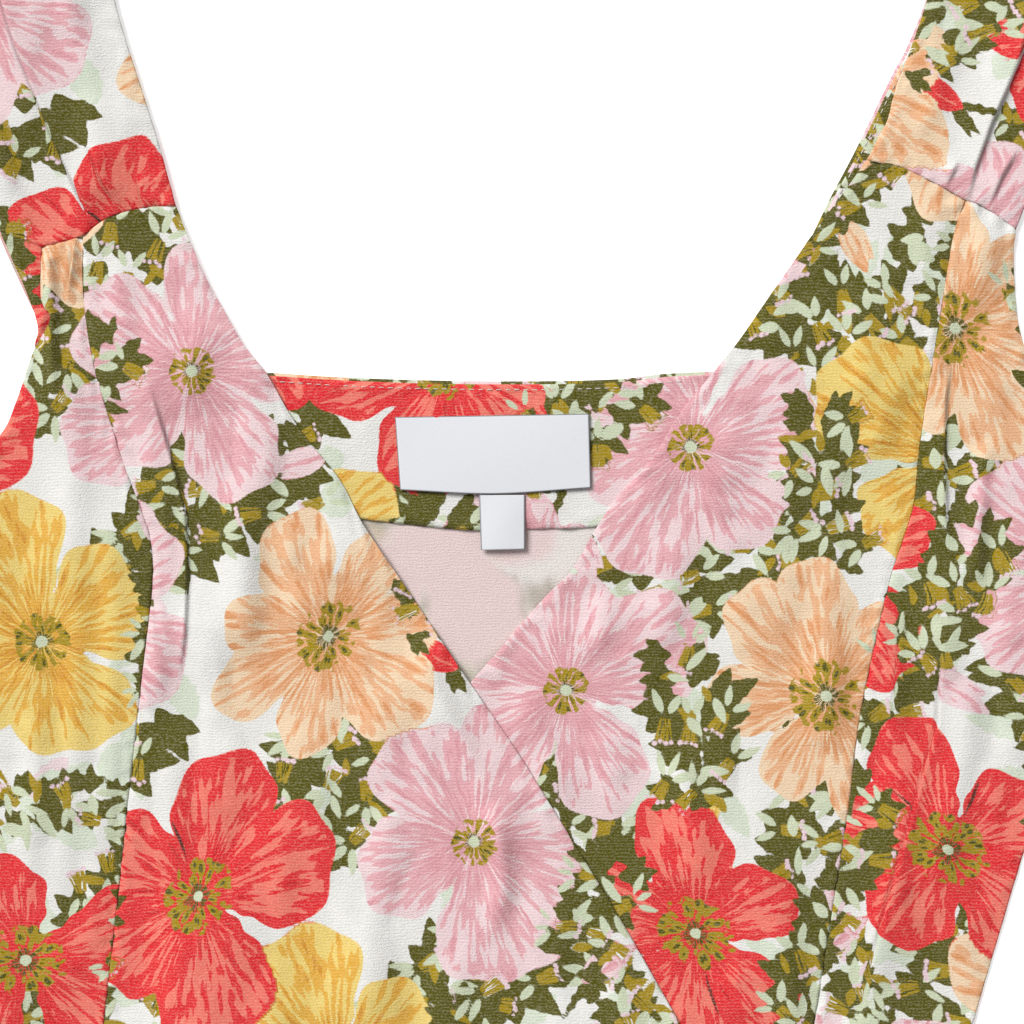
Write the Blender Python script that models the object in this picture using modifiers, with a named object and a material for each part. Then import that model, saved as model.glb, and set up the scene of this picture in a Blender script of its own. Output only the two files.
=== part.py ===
"""Sleeveless wrap dress of printed crepe, laid flat on its back.

Each object is one cut piece of cloth, as a wall 1 mm thick. The back pieces lie on the
surface, the neck facing lies on them, then the front that wraps under, then the front
that wraps over it, and on top the waist tie. Sizes in the tables are millimetres. X runs
to the left hand of whoever wears it, Y to the shoulders, Z up from the surface. Their
zero is a point on the centre front between the bust points, and the whole dress is then
moved so that the middle of its box stands over the origin.
"""

from collections import namedtuple

import bpy
import numpy as np
from mathutils import Vector
from mathutils.geometry import delaunay_2d_cdt

MM = 0.001

# Driving sizes
WALL = 1.0
GAP = 0.3
LAYER = WALL + GAP
SHOULDER_Y = 211.6
BACK_SEAM_Y = 52.2
WAIST_Y = -236.1
WAIST_LEFT = -209.4
WAIST_RIGHT = 156.9
WAIST_MIDDLE = (WAIST_LEFT + WAIST_RIGHT) / 2
SKIRT_LENGTH = 720.0
HEM_HALF_WIDTH = 370.0
HEM_RISE = 34.0
HEM_Y = WAIST_Y - SKIRT_LENGTH
FACING_DEPTH = 52.0
EDGE_ROLL = 1.2
TIE_WIDTH = 25.0
TIE_AT_KNOT = 16.0
TIE_TO_KNOT = 10.8
TIE_LEAN = 7.0
KNOT_HALF = (15.0, 12.0, 5.0)
KNOT_AT = (138.0, WAIST_Y)

# How far apart the points of a curve are, and the triangles' points across and down a piece
BODY_STEP = 11.0
STRAP_STEP = 9.0
SHOULDER_STEP = 12.0
SIDE_STEP = 24.0
BACK_STEP = 16.0
SKIRT_STEP = 40.0
BACK_MESH = (34.0, 34.0)
SKIRT_BACK_MESH = (70.0, 70.0)
BODY_MESH = (8.5, 15.0)
STRAP_MESH = (6.5, 11.0)
SKIRT_MESH = (26.0, 50.0)
LABEL_MESH = (12.0, 12.0)
TIE_END_MESH = (9.0, 22.0)

# How fast a layer comes down beside the edge of what it lies on
LAP_FLAT = 15.0
LAP_SLOPE = 14.0
SHOULDER_ROLL = 7.0

# Edges and seams, as points (x, y) along each one
NECK_OVER = [
    (-124.3, 113.2), (-119.5, 101.0), (-112.8, 86.0), (-105.6, 73.0), (-98.6, 61.2), (-91.4, 52.5),
]
WRAP_OVER = [
    (-91.4, 52.5), (-78.4, 30.3), (-63.6, 11.8), (-55.1, -4.4), (-38.1, -29.6),
    (-15.5, -63.3), (3.0, -90.3), (25.9, -127.3), (43.3, -156.1), (62.2, -189.4), (89.2, WAIST_Y),
]
NECK_UNDER = [
    (131.0, 130.2), (124.7, 121.0), (118.4, 112.5), (109.2, 99.9), (103.6, 91.8),
    (94.7, 79.2), (84.0, 63.6), (75.1, 52.5),
]
WRAP_UNDER = [
    (75.1, 52.5), (62.2, 36.6), (52.5, 21.1), (38.1, 4.1), (30.7, -6.7), (22.2, -21.5),
    (12.9, -30.7), (2.6, -42.5), (-15.5, -63.3), (-63.6, -117.7), (-104.3, -169.5), (-141.7, WAIST_Y),
]
PRINCESS_LEFT = [
    (-158.7, 102.1), (-158.5, 79.5), (-154.3, 53.3), (-144.7, 21.1), (-138.0, 2.6), (-133.9, -10.4),
    (-133.2, -28.0), (-137.3, -64.4), (-142.1, -106.6), (-146.5, -146.9), (-151.3, -189.4), (-156.9, WAIST_Y),
]
PRINCESS_RIGHT = [
    (167.6, 115.4), (163.5, 103.2), (160.2, 84.4), (155.8, 56.2), (151.3, 26.6), (148.4, 1.1),
    (141.0, -21.8), (135.1, -45.9), (128.8, -76.6), (124.3, -112.1), (119.1, -144.7), (112.1, -189.4),
    (105.1, WAIST_Y),
]
STRAP_SEAM_LEFT = [(-124.3, 113.2), (-136.2, 112.5), (-149.5, 108.8), (-158.7, 102.1)]
STRAP_SEAM_LEFT_SIDE = [(-158.7, 102.1), (-163.5, 100.6), (-173.9, 98.0)]
STRAP_TAIL_LEFT = [(-173.9, 98.0), (-174.2, 78.4), (-170.2, 71.8), (-176.5, 61.0)]
STRAP_SEAM_RIGHT = [
    (131.0, 130.2), (135.8, 129.1), (141.3, 128.4), (147.3, 126.2), (159.5, 119.9), (167.6, 115.4),
]
STRAP_SEAM_RIGHT_SIDE = [(167.6, 115.4), (175.0, 112.5), (186.5, 104.7)]
ARMHOLE_LEFT = [(-176.5, 61.0), (-179.1, 54.0), (-185.7, 35.5), (-189.4, 28.9), (-200.5, 13.7), (-217.2, 0.0)]
ARMHOLE_RIGHT = [
    (186.5, 104.7), (185.7, 94.7), (187.2, 72.5), (189.4, 62.5), (193.9, 47.0), (202.0, 28.5),
    (211.6, 13.7), (222.0, 4.4),
]
SIDE_LEFT = [(-217.2, 0.0), (-216.1, -69.6), (-213.9, -143.6), (WAIST_LEFT, WAIST_Y)]
SIDE_RIGHT = [(222.0, 4.4), (206.5, -69.6), (184.3, -143.6), (WAIST_RIGHT, WAIST_Y)]
STRAP_INNER_LEFT = [
    (-124.3, 113.2), (-126.2, 120.2), (-131.0, 137.6), (-134.7, 149.5), (-142.1, 172.4),
    (-146.9, 189.4), (-152.4, SHOULDER_Y),
]
STRAP_OUTER_LEFT = [
    (-176.5, 61.0), (-175.4, 68.8), (-179.8, 81.8), (-185.0, 93.6), (-189.4, 104.0), (-196.8, 122.8),
    (-204.2, 148.7), (-210.9, 174.6), (-217.2, 196.8), (-220.9, SHOULDER_Y),
]
STRAP_INNER_RIGHT = [
    (131.0, 130.2), (133.6, 134.2), (135.3, 138.4), (138.7, 144.4), (142.1, 156.9),
    (147.3, 170.9), (153.6, 189.4), (160.2, SHOULDER_Y),
]
STRAP_OUTER_RIGHT = [
    (186.5, 104.7), (189.4, 112.1), (195.4, 130.2), (204.6, 152.4), (215.7, 178.3),
    (223.1, 196.8), (227.9, SHOULDER_Y),
]
BACK_NECK = [
    (-98.8, BACK_SEAM_Y), (-91.4, 51.8), (-63.6, 50.0), (-29.6, 48.8), (7.8, 48.5), (38.1, 49.2),
    (55.1, 51.1), (75.1, BACK_SEAM_Y),
]
BACK_INNER_LEFT = [
    (-98.8, BACK_SEAM_Y), (-106.2, 61.8), (-115.4, 78.4), (-124.7, 96.9), (-133.9, 119.1),
    (-143.2, 145.0), (-149.8, 174.6), (-153.9, SHOULDER_Y),
]
BACK_INNER_RIGHT = [
    (75.1, BACK_SEAM_Y), (83.0, 62.0), (94.2, 77.5), (103.0, 89.5), (109.5, 99.0), (117.8, 115.9),
    (126.4, 132.1), (133.1, 145.8), (141.7, 163.5), (145.8, 170.9), (152.8, 188.0), (158.4, SHOULDER_Y),
]
# The back strap stands out a little from under the left front strap, and nowhere else
BACK_OUTER_LEFT = [
    (-178.0, BACK_SEAM_Y), (-174.9, 62.0), (-174.8, 68.4), (-181.0, 81.8), (-186.4, 93.6), (-190.8, 104.0),
    (-198.2, 122.8), (-205.5, 148.7), (-211.9, 174.6), (-217.9, 196.8), (-221.3, SHOULDER_Y),
]
BACK_OUTER_RIGHT = [
    (191.0, BACK_SEAM_Y), (188.4, 62.5), (186.2, 72.5), (184.8, 94.7), (185.7, 104.7), (188.5, 112.1),
    (194.5, 130.2), (203.7, 152.4), (214.8, 178.3), (222.4, 196.8), (227.6, SHOULDER_Y),
]
BACK_ARMHOLE_LEFT = [(-178.0, BACK_SEAM_Y), (-184.6, 35.5), (-188.3, 28.9), (-199.6, 14.2), (-217.2, 0.0)]
BACK_ARMHOLE_RIGHT = [(191.0, BACK_SEAM_Y), (201.0, 28.5), (210.8, 13.7), (222.0, 4.4)]
FACING_LOWER = [
    (-150.0, BACK_SEAM_Y), (-128.0, 24.0), (-92.0, 4.0), (-55.9, -2.6), (-15.9, -6.7), (7.8, -6.3),
    (32.2, -5.2), (72.0, 2.0), (106.0, 22.0), (128.0, BACK_SEAM_Y),
]
LABEL_OUTLINE = [(-43.3, 35.1), (28.5, 36.3), (29.2, 8.9), (-6.7, 6.6), (-41.4, 8.1)]
SIZE_TAG_OUTLINE = [(-12.2, 6.3), (4.8, 6.3), (4.8, -13.7), (-11.5, -14.1)]

# Skirt edges: a row for each height below the waist, with the side seam's distance from
# the middle, and the two wrap edges' x
SkirtRow = namedtuple("SkirtRow", "down side over_edge under_edge")
SKIRT_ROWS = [
    SkirtRow(0.0, 183.15, 89.2, -141.7),
    SkirtRow(60.0, 208.0, 92.5, -143.0),
    SkirtRow(130.0, 233.0, 101.0, -147.0),
    SkirtRow(240.0, 262.0, 117.0, -154.0),
    SkirtRow(430.0, 304.0, 146.0, -167.0),
    SkirtRow(600.0, 342.0, 171.0, -179.0),
    SkirtRow(SKIRT_LENGTH, HEM_HALF_WIDTH, 189.0, -187.0),
]

# The two free ends of the tie: a row for each place down its middle line
TieRow = namedtuple("TieRow", "down x width")
TIE_END_INNER = [
    TieRow(9.5, 131.0, 12.0), TieRow(30.0, 128.5, 17.0), TieRow(64.0, 126.5, 24.0),
    TieRow(144.0, 131.0, TIE_WIDTH), TieRow(234.0, 125.0, TIE_WIDTH), TieRow(338.0, 133.0, TIE_WIDTH),
]
TIE_END_OUTER = [
    TieRow(9.5, 146.0, 12.0), TieRow(30.0, 152.0, 17.0), TieRow(64.0, 161.0, 24.0),
    TieRow(134.0, 171.0, TIE_WIDTH), TieRow(214.0, 187.0, TIE_WIDTH), TieRow(286.0, 197.0, TIE_WIDTH),
]
TIE_TIP = 11.0

# Creases and pleats. A pleat is a step up on the left of its line, looking along it,
# that falls away over its reach. A ridge is a soft round wave. The two fades are the
# lengths over which it rises from its first point and dies towards its last one.
Crease = namedtuple("Crease", "pieces kind height reach fade_in fade_out line")
PLEAT_RAMP = 1.6
CREASES = [
    Crease(("strap_front_left",), "pleat", 1.9, 26.0, 0.0, 0.0,
           [(-196.0, SHOULDER_Y), (-183.9, 172.1), (-171.7, 142.1), (-160.9, 118.4), (-155.0, 105.0)]),
    Crease(("strap_front_left",), "pleat", 1.3, 10.0, 9.0, 0.0,
           [(-157.4, 137.0), (-152.4, 123.6), (-147.6, 115.4), (-146.0, 108.0)]),
    Crease(("strap_front_left",), "pleat", 1.0, 8.0, 7.0, 0.0,
           [(-139.6, 126.5), (-138.4, 121.0), (-136.0, 110.0)]),
    Crease(("strap_front_right",), "pleat", 1.9, 26.0, 0.0, 0.0,
           [(168.6, 114.0), (171.3, 126.5), (177.6, 143.9), (186.8, 165.0), (200.0, SHOULDER_Y)]),
    Crease(("strap_front_right",), "pleat", 1.3, 10.0, 0.0, 9.0,
           [(176.0, 110.0), (178.0, 116.5), (181.3, 124.0), (188.0, 135.0)]),
    Crease(("strap_front_right",), "pleat", 1.0, 8.0, 0.0, 6.0,
           [(159.5, 118.0), (161.2, 121.5), (165.6, 130.5)]),
    Crease(("front_side_over",), "ridge", 1.6, 4.5, 0.0, 16.0,
           [(-165.5, 104.0), (-166.5, 86.0), (-169.2, 74.0), (-171.0, 58.0), (-170.0, 40.0)]),
    Crease(("front_side_over",), "ridge", 1.3, 7.0, 26.0, 60.0,
           [(-166.0, 30.0), (-161.0, -20.0), (-162.0, -90.0), (-170.0, -170.0)]),
    Crease(("front_centre_over",), "pleat", 1.5, 17.0, 20.0, 22.0,
           [(-123.2, -64.4), (-120.6, -44.0), (-119.9, -20.7), (-120.6, 1.1), (-127.0, 24.0),
            (-134.5, 50.0)]),
    Crease(("front_centre_over",), "ridge", 1.4, 9.0, 24.0, 22.0,
           [(-99.5, 6.0), (-99.0, -20.0), (-99.8, -58.0)]),
    Crease(("front_centre_over",), "ridge", 1.2, 8.0, 16.0, 16.0,
           [(-84.0, -2.0), (-80.5, -24.0), (-77.0, -46.0)]),
    Crease(("front_centre_over",), "ridge", 1.6, 6.0, 18.0, 22.0,
           [(-15.0, -96.0), (-6.3, -115.1), (-2.6, -135.0), (-7.0, -160.0)]),
    Crease(("front_centre_over",), "ridge", 1.8, 15.0, 40.0, 0.0,
           [(-104.0, -120.0), (-108.0, -180.0), (-112.0, WAIST_Y)]),
    Crease(("front_centre_over",), "ridge", 1.6, 13.0, 40.0, 0.0,
           [(-52.0, -140.0), (-56.0, -190.0), (-58.0, WAIST_Y)]),
    Crease(("front_side_under",), "pleat", 1.5, 13.0, 16.0, 16.0,
           [(162.5, -14.0), (160.9, -3.0), (160.4, 20.0), (160.9, 41.4), (163.0, 58.0)]),
    Crease(("front_side_under",), "ridge", 1.5, 5.0, 14.0, 14.0,
           [(174.5, 28.0), (173.2, 3.3), (171.9, -4.0), (171.6, -30.0)]),
    Crease(("front_side_under",), "pleat", 1.7, 16.0, 22.0, 34.0,
           [(158.6, -40.0), (156.9, -78.4), (147.3, -111.0), (140.2, -136.2), (132.5, -165.8),
            (127.0, -196.0)]),
    Crease(("front_centre_under",), "ridge", 1.3, 7.0, 16.0, 18.0,
           [(35.4, -28.0), (32.6, -44.0), (27.0, -60.0)]),
    Crease(("front_centre_under",), "ridge", 1.3, 9.0, 24.0, 26.0,
           [(101.0, 60.0), (104.0, 30.0), (103.0, -8.0)]),
    Crease(("front_centre_under",), "ridge", 1.5, 11.0, 34.0, 36.0,
           [(88.0, -90.0), (91.0, -130.0), (93.0, -190.0)]),
    Crease(("skirt_over",), "ridge", 3.4, 17.0, 0.0, 150.0,
           [(-112.0, WAIST_Y), (-128.0, -420.0), (-150.0, -640.0)]),
    Crease(("skirt_over",), "ridge", 3.0, 16.0, 0.0, 160.0,
           [(-58.0, WAIST_Y), (-62.0, -400.0), (-58.0, -600.0)]),
    Crease(("skirt_over",), "ridge", 3.2, 22.0, 150.0, 0.0,
           [(-232.0, -520.0), (-262.0, -700.0), (-292.0, HEM_Y)]),
    Crease(("skirt_over",), "ridge", 3.6, 24.0, 170.0, 0.0,
           [(-24.0, -560.0), (-18.0, -760.0), (-14.0, HEM_Y)]),
    Crease(("skirt_over",), "ridge", 3.0, 20.0, 160.0, 0.0,
           [(58.0, -600.0), (74.0, -780.0), (92.0, HEM_Y)]),
    Crease(("skirt_under",), "ridge", 3.2, 22.0, 160.0, 0.0,
           [(214.0, -560.0), (240.0, -740.0), (266.0, HEM_Y)]),
]

# The pieces, from the surface up, with what each one lies on. BACK stands for the layer of
# back pieces, which is below all the others
BACK = "back"
FACINGS = ("neck_facing", "strap_facing_left", "strap_facing_right")
UNDER = (BACK, *FACINGS)
OVER = (*UNDER, "front_centre_under")
ON_SKIRT = (BACK, BACK, "skirt_over")
Piece = namedtuple("Piece", "name finish lies_on mesh_step")
PIECES = [
    Piece("back_bodice", "crepe_inside", (), BACK_MESH),
    Piece("strap_back_left", "crepe_inside", (), BACK_MESH),
    Piece("strap_back_right", "crepe_inside", (), BACK_MESH),
    Piece("skirt_back", "crepe_skirt", (), SKIRT_BACK_MESH),
    Piece("neck_facing", "crepe_strap", (BACK,), BACK_MESH),
    Piece("strap_facing_left", "crepe_strap", (BACK,), BACK_MESH),
    Piece("strap_facing_right", "crepe_strap", (BACK,), BACK_MESH),
    Piece("main_label", "satin_label", (BACK, BACK), LABEL_MESH),
    Piece("size_tag", "satin_label", (BACK, BACK), LABEL_MESH),
    Piece("front_centre_under", "crepe_front", UNDER, BODY_MESH),
    Piece("front_side_under", "crepe_side", UNDER, BODY_MESH),
    Piece("strap_front_right", "crepe_strap", UNDER, STRAP_MESH),
    Piece("front_centre_over", "crepe_front", OVER, BODY_MESH),
    Piece("front_side_over", "crepe_side", OVER, BODY_MESH),
    Piece("strap_front_left", "crepe_strap", OVER, STRAP_MESH),
    Piece("skirt_under", "crepe_skirt", (BACK,), SKIRT_MESH),
    Piece("skirt_over", "crepe_skirt", (BACK, "skirt_under"), SKIRT_MESH),
    Piece("tie_front", "crepe_tie", (BACK, BACK), LABEL_MESH),
    Piece("tie_side", "crepe_tie", (BACK, BACK), LABEL_MESH),
    Piece("tie_end_inner", "crepe_tie", ON_SKIRT, TIE_END_MESH),
    Piece("tie_end_outer", "crepe_tie", ON_SKIRT, TIE_END_MESH),
]
SHOULDER_PIECES = ("strap_front_left", "strap_front_right")

# Colour, roughness and metallic value of each kind of cloth
Finish = namedtuple("Finish", "colour roughness metallic")
FINISHES = {
    "crepe_front": Finish((0.80, 0.42, 0.40), 0.85, 0.0),
    "crepe_side": Finish((0.83, 0.56, 0.50), 0.85, 0.0),
    "crepe_strap": Finish((0.84, 0.66, 0.62), 0.85, 0.0),
    "crepe_inside": Finish((0.88, 0.80, 0.78), 0.90, 0.0),
    "crepe_skirt": Finish((0.80, 0.50, 0.46), 0.85, 0.0),
    "crepe_tie": Finish((0.72, 0.60, 0.40), 0.85, 0.0),
    "satin_label": Finish((0.86, 0.86, 0.88), 0.45, 0.0),
}


def smooth_curve(points, step):
    """A Catmull-Rom curve through the points, read about every step millimetres, ends kept."""
    p = np.array(points, float)
    ends = np.vstack([2 * p[0] - p[1], p, 2 * p[-1] - p[-2]])
    made = []
    for a, b, c, d in zip(ends, ends[1:], ends[2:], ends[3:]):
        count = max(1, int(round(np.linalg.norm(c - b) / step)))
        t = (np.arange(count) / count)[:, None]
        made.append(b + 0.5 * t * (c - a + t * (2 * a - 5 * b + 4 * c - d + t * (3 * (b - c) + d - a))))
    return np.vstack([*made, p[-1:]])


def joined(*edges):
    """One closed outline from edges that follow each other, each shared corner kept once."""
    rows = [edge[:-1] for edge in edges]
    return np.vstack(rows)


def signed_area(outline):
    x, y = outline.T
    return 0.5 * float((x * np.roll(y, -1) - np.roll(x, -1) * y).sum())


def counter_clockwise(outline):
    return outline if signed_area(outline) > 0 else outline[::-1]


def inset(outline, distance):
    """The outline moved inwards by distance, so that two pieces along a seam stand apart."""
    before = outline - np.roll(outline, 1, axis=0)
    after = np.roll(outline, -1, axis=0) - outline
    before /= np.linalg.norm(before, axis=1)[:, None]
    after /= np.linalg.norm(after, axis=1)[:, None]
    inward_before = np.column_stack([-before[:, 1], before[:, 0]])
    inward_after = np.column_stack([-after[:, 1], after[:, 0]])
    middle = inward_before + inward_after
    share = np.clip((middle * inward_after).sum(axis=1), 0.35, 2.0)
    return outline + distance * middle / share[:, None]


def edge_distance(points, outline):
    """Distance of each point from the outline, and whether it lies inside it."""
    a = outline[None]
    b = np.roll(outline, -1, axis=0)[None]
    p = points[:, None]
    run = b - a
    t = np.clip(((p - a) * run).sum(axis=2) / np.maximum((run * run).sum(axis=2), 1e-12), 0, 1)
    away = np.linalg.norm(p - a - t[..., None] * run, axis=2).min(axis=1)
    crosses = (a[..., 1] > p[..., 1]) != (b[..., 1] > p[..., 1])
    rise = np.where(run[..., 1] == 0, 1e-12, run[..., 1])
    hit = p[..., 0] < a[..., 0] + (p[..., 1] - a[..., 1]) * run[..., 0] / rise
    return away, (crosses & hit).sum(axis=1) % 2 == 1


def ease(t):
    t = np.clip(t, 0, 1)
    return t * t * (3 - 2 * t)


def near(points, outline):
    """1 on what lies below and a little beside it, falling to 0 further out."""
    away, inside = edge_distance(points, outline)
    away = np.where(inside, 0.0, away)
    return 1 - ease((away - LAP_FLAT) / LAP_SLOPE)


def crease_height(crease, points):
    """How much a crease lifts the cloth at each point."""
    line = np.array(crease.line, float)
    run = np.diff(line, axis=0)
    length = np.linalg.norm(run, axis=1)
    start = np.concatenate([[0.0], np.cumsum(length)[:-1]])
    best = np.full(len(points), np.inf)
    off = np.zeros(len(points))
    along = np.zeros(len(points))
    last = len(run) - 1
    for i in range(len(run)):
        unit = run[i] / length[i]
        to = points - line[i]
        raw = to @ unit
        low = -np.inf if i == 0 else 0.0
        high = np.inf if i == last else length[i]
        held = np.clip(raw, low, high)
        gap = np.linalg.norm(to - held[:, None] * unit, axis=1)
        side = np.sign(unit[0] * to[:, 1] - unit[1] * to[:, 0])
        closer = gap < best
        best = np.where(closer, gap, best)
        off = np.where(closer, side * gap, off)
        along = np.where(closer, start[i] + held, along)
    total = float(length.sum())
    rise = np.where(crease.fade_in > 0, ease(along / max(crease.fade_in, 1e-6)), 1.0)
    fall = np.where(crease.fade_out > 0, ease((total - along) / max(crease.fade_out, 1e-6)), 1.0)
    if crease.kind == "ridge":
        shape = np.exp(-((off / crease.reach) ** 2))
    else:
        up = np.clip(off / PLEAT_RAMP + 0.5, 0, 1)
        down = np.clip(1 - (off - PLEAT_RAMP / 2) / crease.reach, 0, 1) ** 2
        shape = up * down
    return crease.height * shape * rise * fall


def crease_guides(crease, outline, across_step):
    """Lines of points on both lips of a pleat, so that its step is crisp in the mesh."""
    line = smooth_curve(crease.line, across_step)
    direction = np.gradient(line, axis=0)
    direction /= np.linalg.norm(direction, axis=1)[:, None]
    normal = np.column_stack([-direction[:, 1], direction[:, 0]])
    guides = []
    for side in (-0.5, 0.5):
        lip = line + side * PLEAT_RAMP * normal
        away, inside = edge_distance(lip, outline)
        guides.append(lip[inside & (away > 1.2)])
    return [g for g in guides if len(g) > 1]


def grid_inside(outline, across, down, keep_off, guides):
    """Grid points inside the outline, clear of it and of the pleats' lips."""
    low, high = outline.min(axis=0), outline.max(axis=0)
    columns = np.arange(low[0] + across / 2, high[0], across)
    rows = np.arange(low[1] + down / 2, high[1], down)
    x, y = np.meshgrid(columns, rows)
    x = x + (np.arange(len(rows)) % 2 * across / 2)[:, None]
    points = np.column_stack([x.ravel(), y.ravel()])
    away, inside = edge_distance(points, outline)
    points = points[inside & (away > keep_off)]
    for guide in guides:
        gap = np.linalg.norm(points[:, None] - guide[None], axis=2).min(axis=1)
        points = points[gap > 0.5 * across]
    return points


def material_for(name, finish):
    facts = FINISHES[finish]
    material = bpy.data.materials.new(name + "_cloth")
    material.use_nodes = True
    shader = material.node_tree.nodes["Principled BSDF"]
    shader.inputs["Base Color"].default_value = (*facts.colour, 1.0)
    shader.inputs["Roughness"].default_value = facts.roughness
    shader.inputs["Metallic"].default_value = facts.metallic
    return material


def piece_of_cloth(piece, outlines):
    """A cut piece laid down: its outline filled with triangles, lifted, and given its wall.

    The front straps come down at the shoulder, where they are sewn to the back straps.
    """
    name = piece.name
    outline = inset(counter_clockwise(outlines[name]), GAP / 2)
    creases = [c for c in CREASES if name in c.pieces]
    across, down = piece.mesh_step
    guides = [g for c in creases if c.kind == "pleat" for g in crease_guides(c, outline, down)]
    inner = grid_inside(outline, across, down, 0.45 * across, guides)
    points = np.vstack([outline, *guides, inner])
    count = len(outline)
    edges = [(i, (i + 1) % count) for i in range(count)]
    for guide in guides:
        edges += [(count + i, count + i + 1) for i in range(len(guide) - 1)]
        count += len(guide)
    flat, _, faces, *_ = delaunay_2d_cdt([Vector(p) for p in points], edges, [], 1, 1e-4)
    flat = np.array([tuple(v) for v in flat])
    height = np.full(len(flat), WALL / 2)
    for below in piece.lies_on:
        height += LAYER * (1.0 if below == BACK else near(flat, outlines[below]))
    for crease in creases:
        height += crease_height(crease, flat)
    if name in SHOULDER_PIECES:
        rolled = ease((flat[:, 1] - SHOULDER_Y + SHOULDER_ROLL) / SHOULDER_ROLL)
        height += rolled * (LAYER + WALL / 2 - height)
    mesh = bpy.data.meshes.new(name)
    places = np.column_stack([flat, height]) * MM
    mesh.from_pydata(places.tolist(), [], [list(f) for f in faces])
    mesh.update()
    cloth = bpy.data.objects.new(name, mesh)
    shell = cloth.modifiers.new("wall", "SOLIDIFY")
    shell.thickness = WALL * MM
    shell.offset = 0.0
    mesh.materials.append(material_for(name, piece.finish))
    mesh.shade_smooth()
    return cloth


def mirrored_rows(rows, sign, column):
    return [(WAIST_MIDDLE + sign * getattr(r, column), WAIST_Y - r.down) for r in rows]


def side_line(sign):
    """The skirt's side seam. It is as long as the middle, so it ends above the hem's lowest point."""
    rows = np.array(mirrored_rows(SKIRT_ROWS, sign, "side"))
    rows[:, 1] = WAIST_Y + (rows[:, 1] - WAIST_Y) * (SKIRT_LENGTH - HEM_RISE) / SKIRT_LENGTH
    return smooth_curve(rows, SKIRT_STEP)


def hem_y(x):
    """The hem is a shallow arc, lowest at the middle."""
    return HEM_Y + HEM_RISE * ((x - WAIST_MIDDLE) / HEM_HALF_WIDTH) ** 2


def wrap_line(column):
    """A skirt front's wrap edge, down to the hem's arc."""
    rows = np.array([(getattr(r, column), WAIST_Y - r.down) for r in SKIRT_ROWS])
    bottom = hem_y(rows[-1, 0])
    rows[:, 1] = WAIST_Y + (rows[:, 1] - WAIST_Y) * (bottom - WAIST_Y) / (HEM_Y - WAIST_Y)
    return smooth_curve(rows, SKIRT_STEP)


def hem_line(x_from, x_to):
    count = max(2, int(abs(x_to - x_from) / SKIRT_STEP))
    x = np.linspace(x_from, x_to, count + 1)
    return np.column_stack([x, hem_y(x)])


def straight(start, end, step=30.0):
    """Points along a straight edge, about every step millimetres."""
    count = max(1, int(round(np.hypot(end[0] - start[0], end[1] - start[1]) / step)))
    t = np.linspace(0, 1, count + 1)[:, None]
    return np.array(start) + t * (np.array(end) - np.array(start))


def tie_end_outline(rows):
    """A hanging end: two long edges from the table, and a slanted tip."""
    line = np.array([(r.x, WAIST_Y - r.down) for r in rows])
    half = np.array([r.width / 2 for r in rows])
    right = smooth_curve(line + np.column_stack([half, 0 * half]), 25.0)
    left_points = line - np.column_stack([half, 0 * half])
    left_points[-1, 1] -= TIE_TIP
    left = smooth_curve(left_points, 25.0)
    return joined(right, straight(right[-1], left[-1]), left[::-1], straight(left[0], right[0]))


def shifted(outline, dx, dy):
    return np.array(outline, float) + np.array([dx, dy])


def back_outlines():
    """The back of the bodice, its two straps, and the facing with its arms up the straps."""
    neck = smooth_curve(BACK_NECK, BACK_STEP)
    lower = smooth_curve(FACING_LOWER, BACK_STEP)
    side_left = smooth_curve(SIDE_LEFT, SIDE_STEP)
    side_right = smooth_curve(SIDE_RIGHT, SIDE_STEP)
    armhole_left = smooth_curve(BACK_ARMHOLE_LEFT, BACK_STEP)
    armhole_right = smooth_curve(BACK_ARMHOLE_RIGHT, BACK_STEP)
    facing_top = shifted(neck, 0.0, -EDGE_ROLL)
    made = {
        "back_bodice": joined(
            neck, straight(neck[-1], armhole_right[0]), armhole_right, side_right,
            straight(side_right[-1], side_left[-1]), side_left[::-1], armhole_left[::-1],
            straight(armhole_left[0], neck[0]),
        ),
        "neck_facing": joined(
            facing_top, straight(facing_top[-1], lower[-1]), lower[::-1], straight(lower[0], facing_top[0]),
        ),
    }
    straps = (
        ("left", BACK_INNER_LEFT, BACK_OUTER_LEFT, -1.0),
        ("right", BACK_INNER_RIGHT, BACK_OUTER_RIGHT, 1.0),
    )
    for side, inner_points, outer_points, outwards in straps:
        inner = smooth_curve(inner_points, BACK_STEP)
        outer = smooth_curve(outer_points, BACK_STEP)
        made["strap_back_" + side] = joined(
            inner, straight(inner[-1], outer[-1]), outer[::-1], straight(outer[0], inner[0]),
        )
        near_edge = shifted(inner[:-1], outwards * EDGE_ROLL, 0.0)
        far_edge = shifted(near_edge, outwards * FACING_DEPTH, 0.0)
        made["strap_facing_" + side] = joined(
            near_edge, straight(near_edge[-1], far_edge[-1]), far_edge[::-1],
            straight(far_edge[0], near_edge[0]),
        )
    return made


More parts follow.
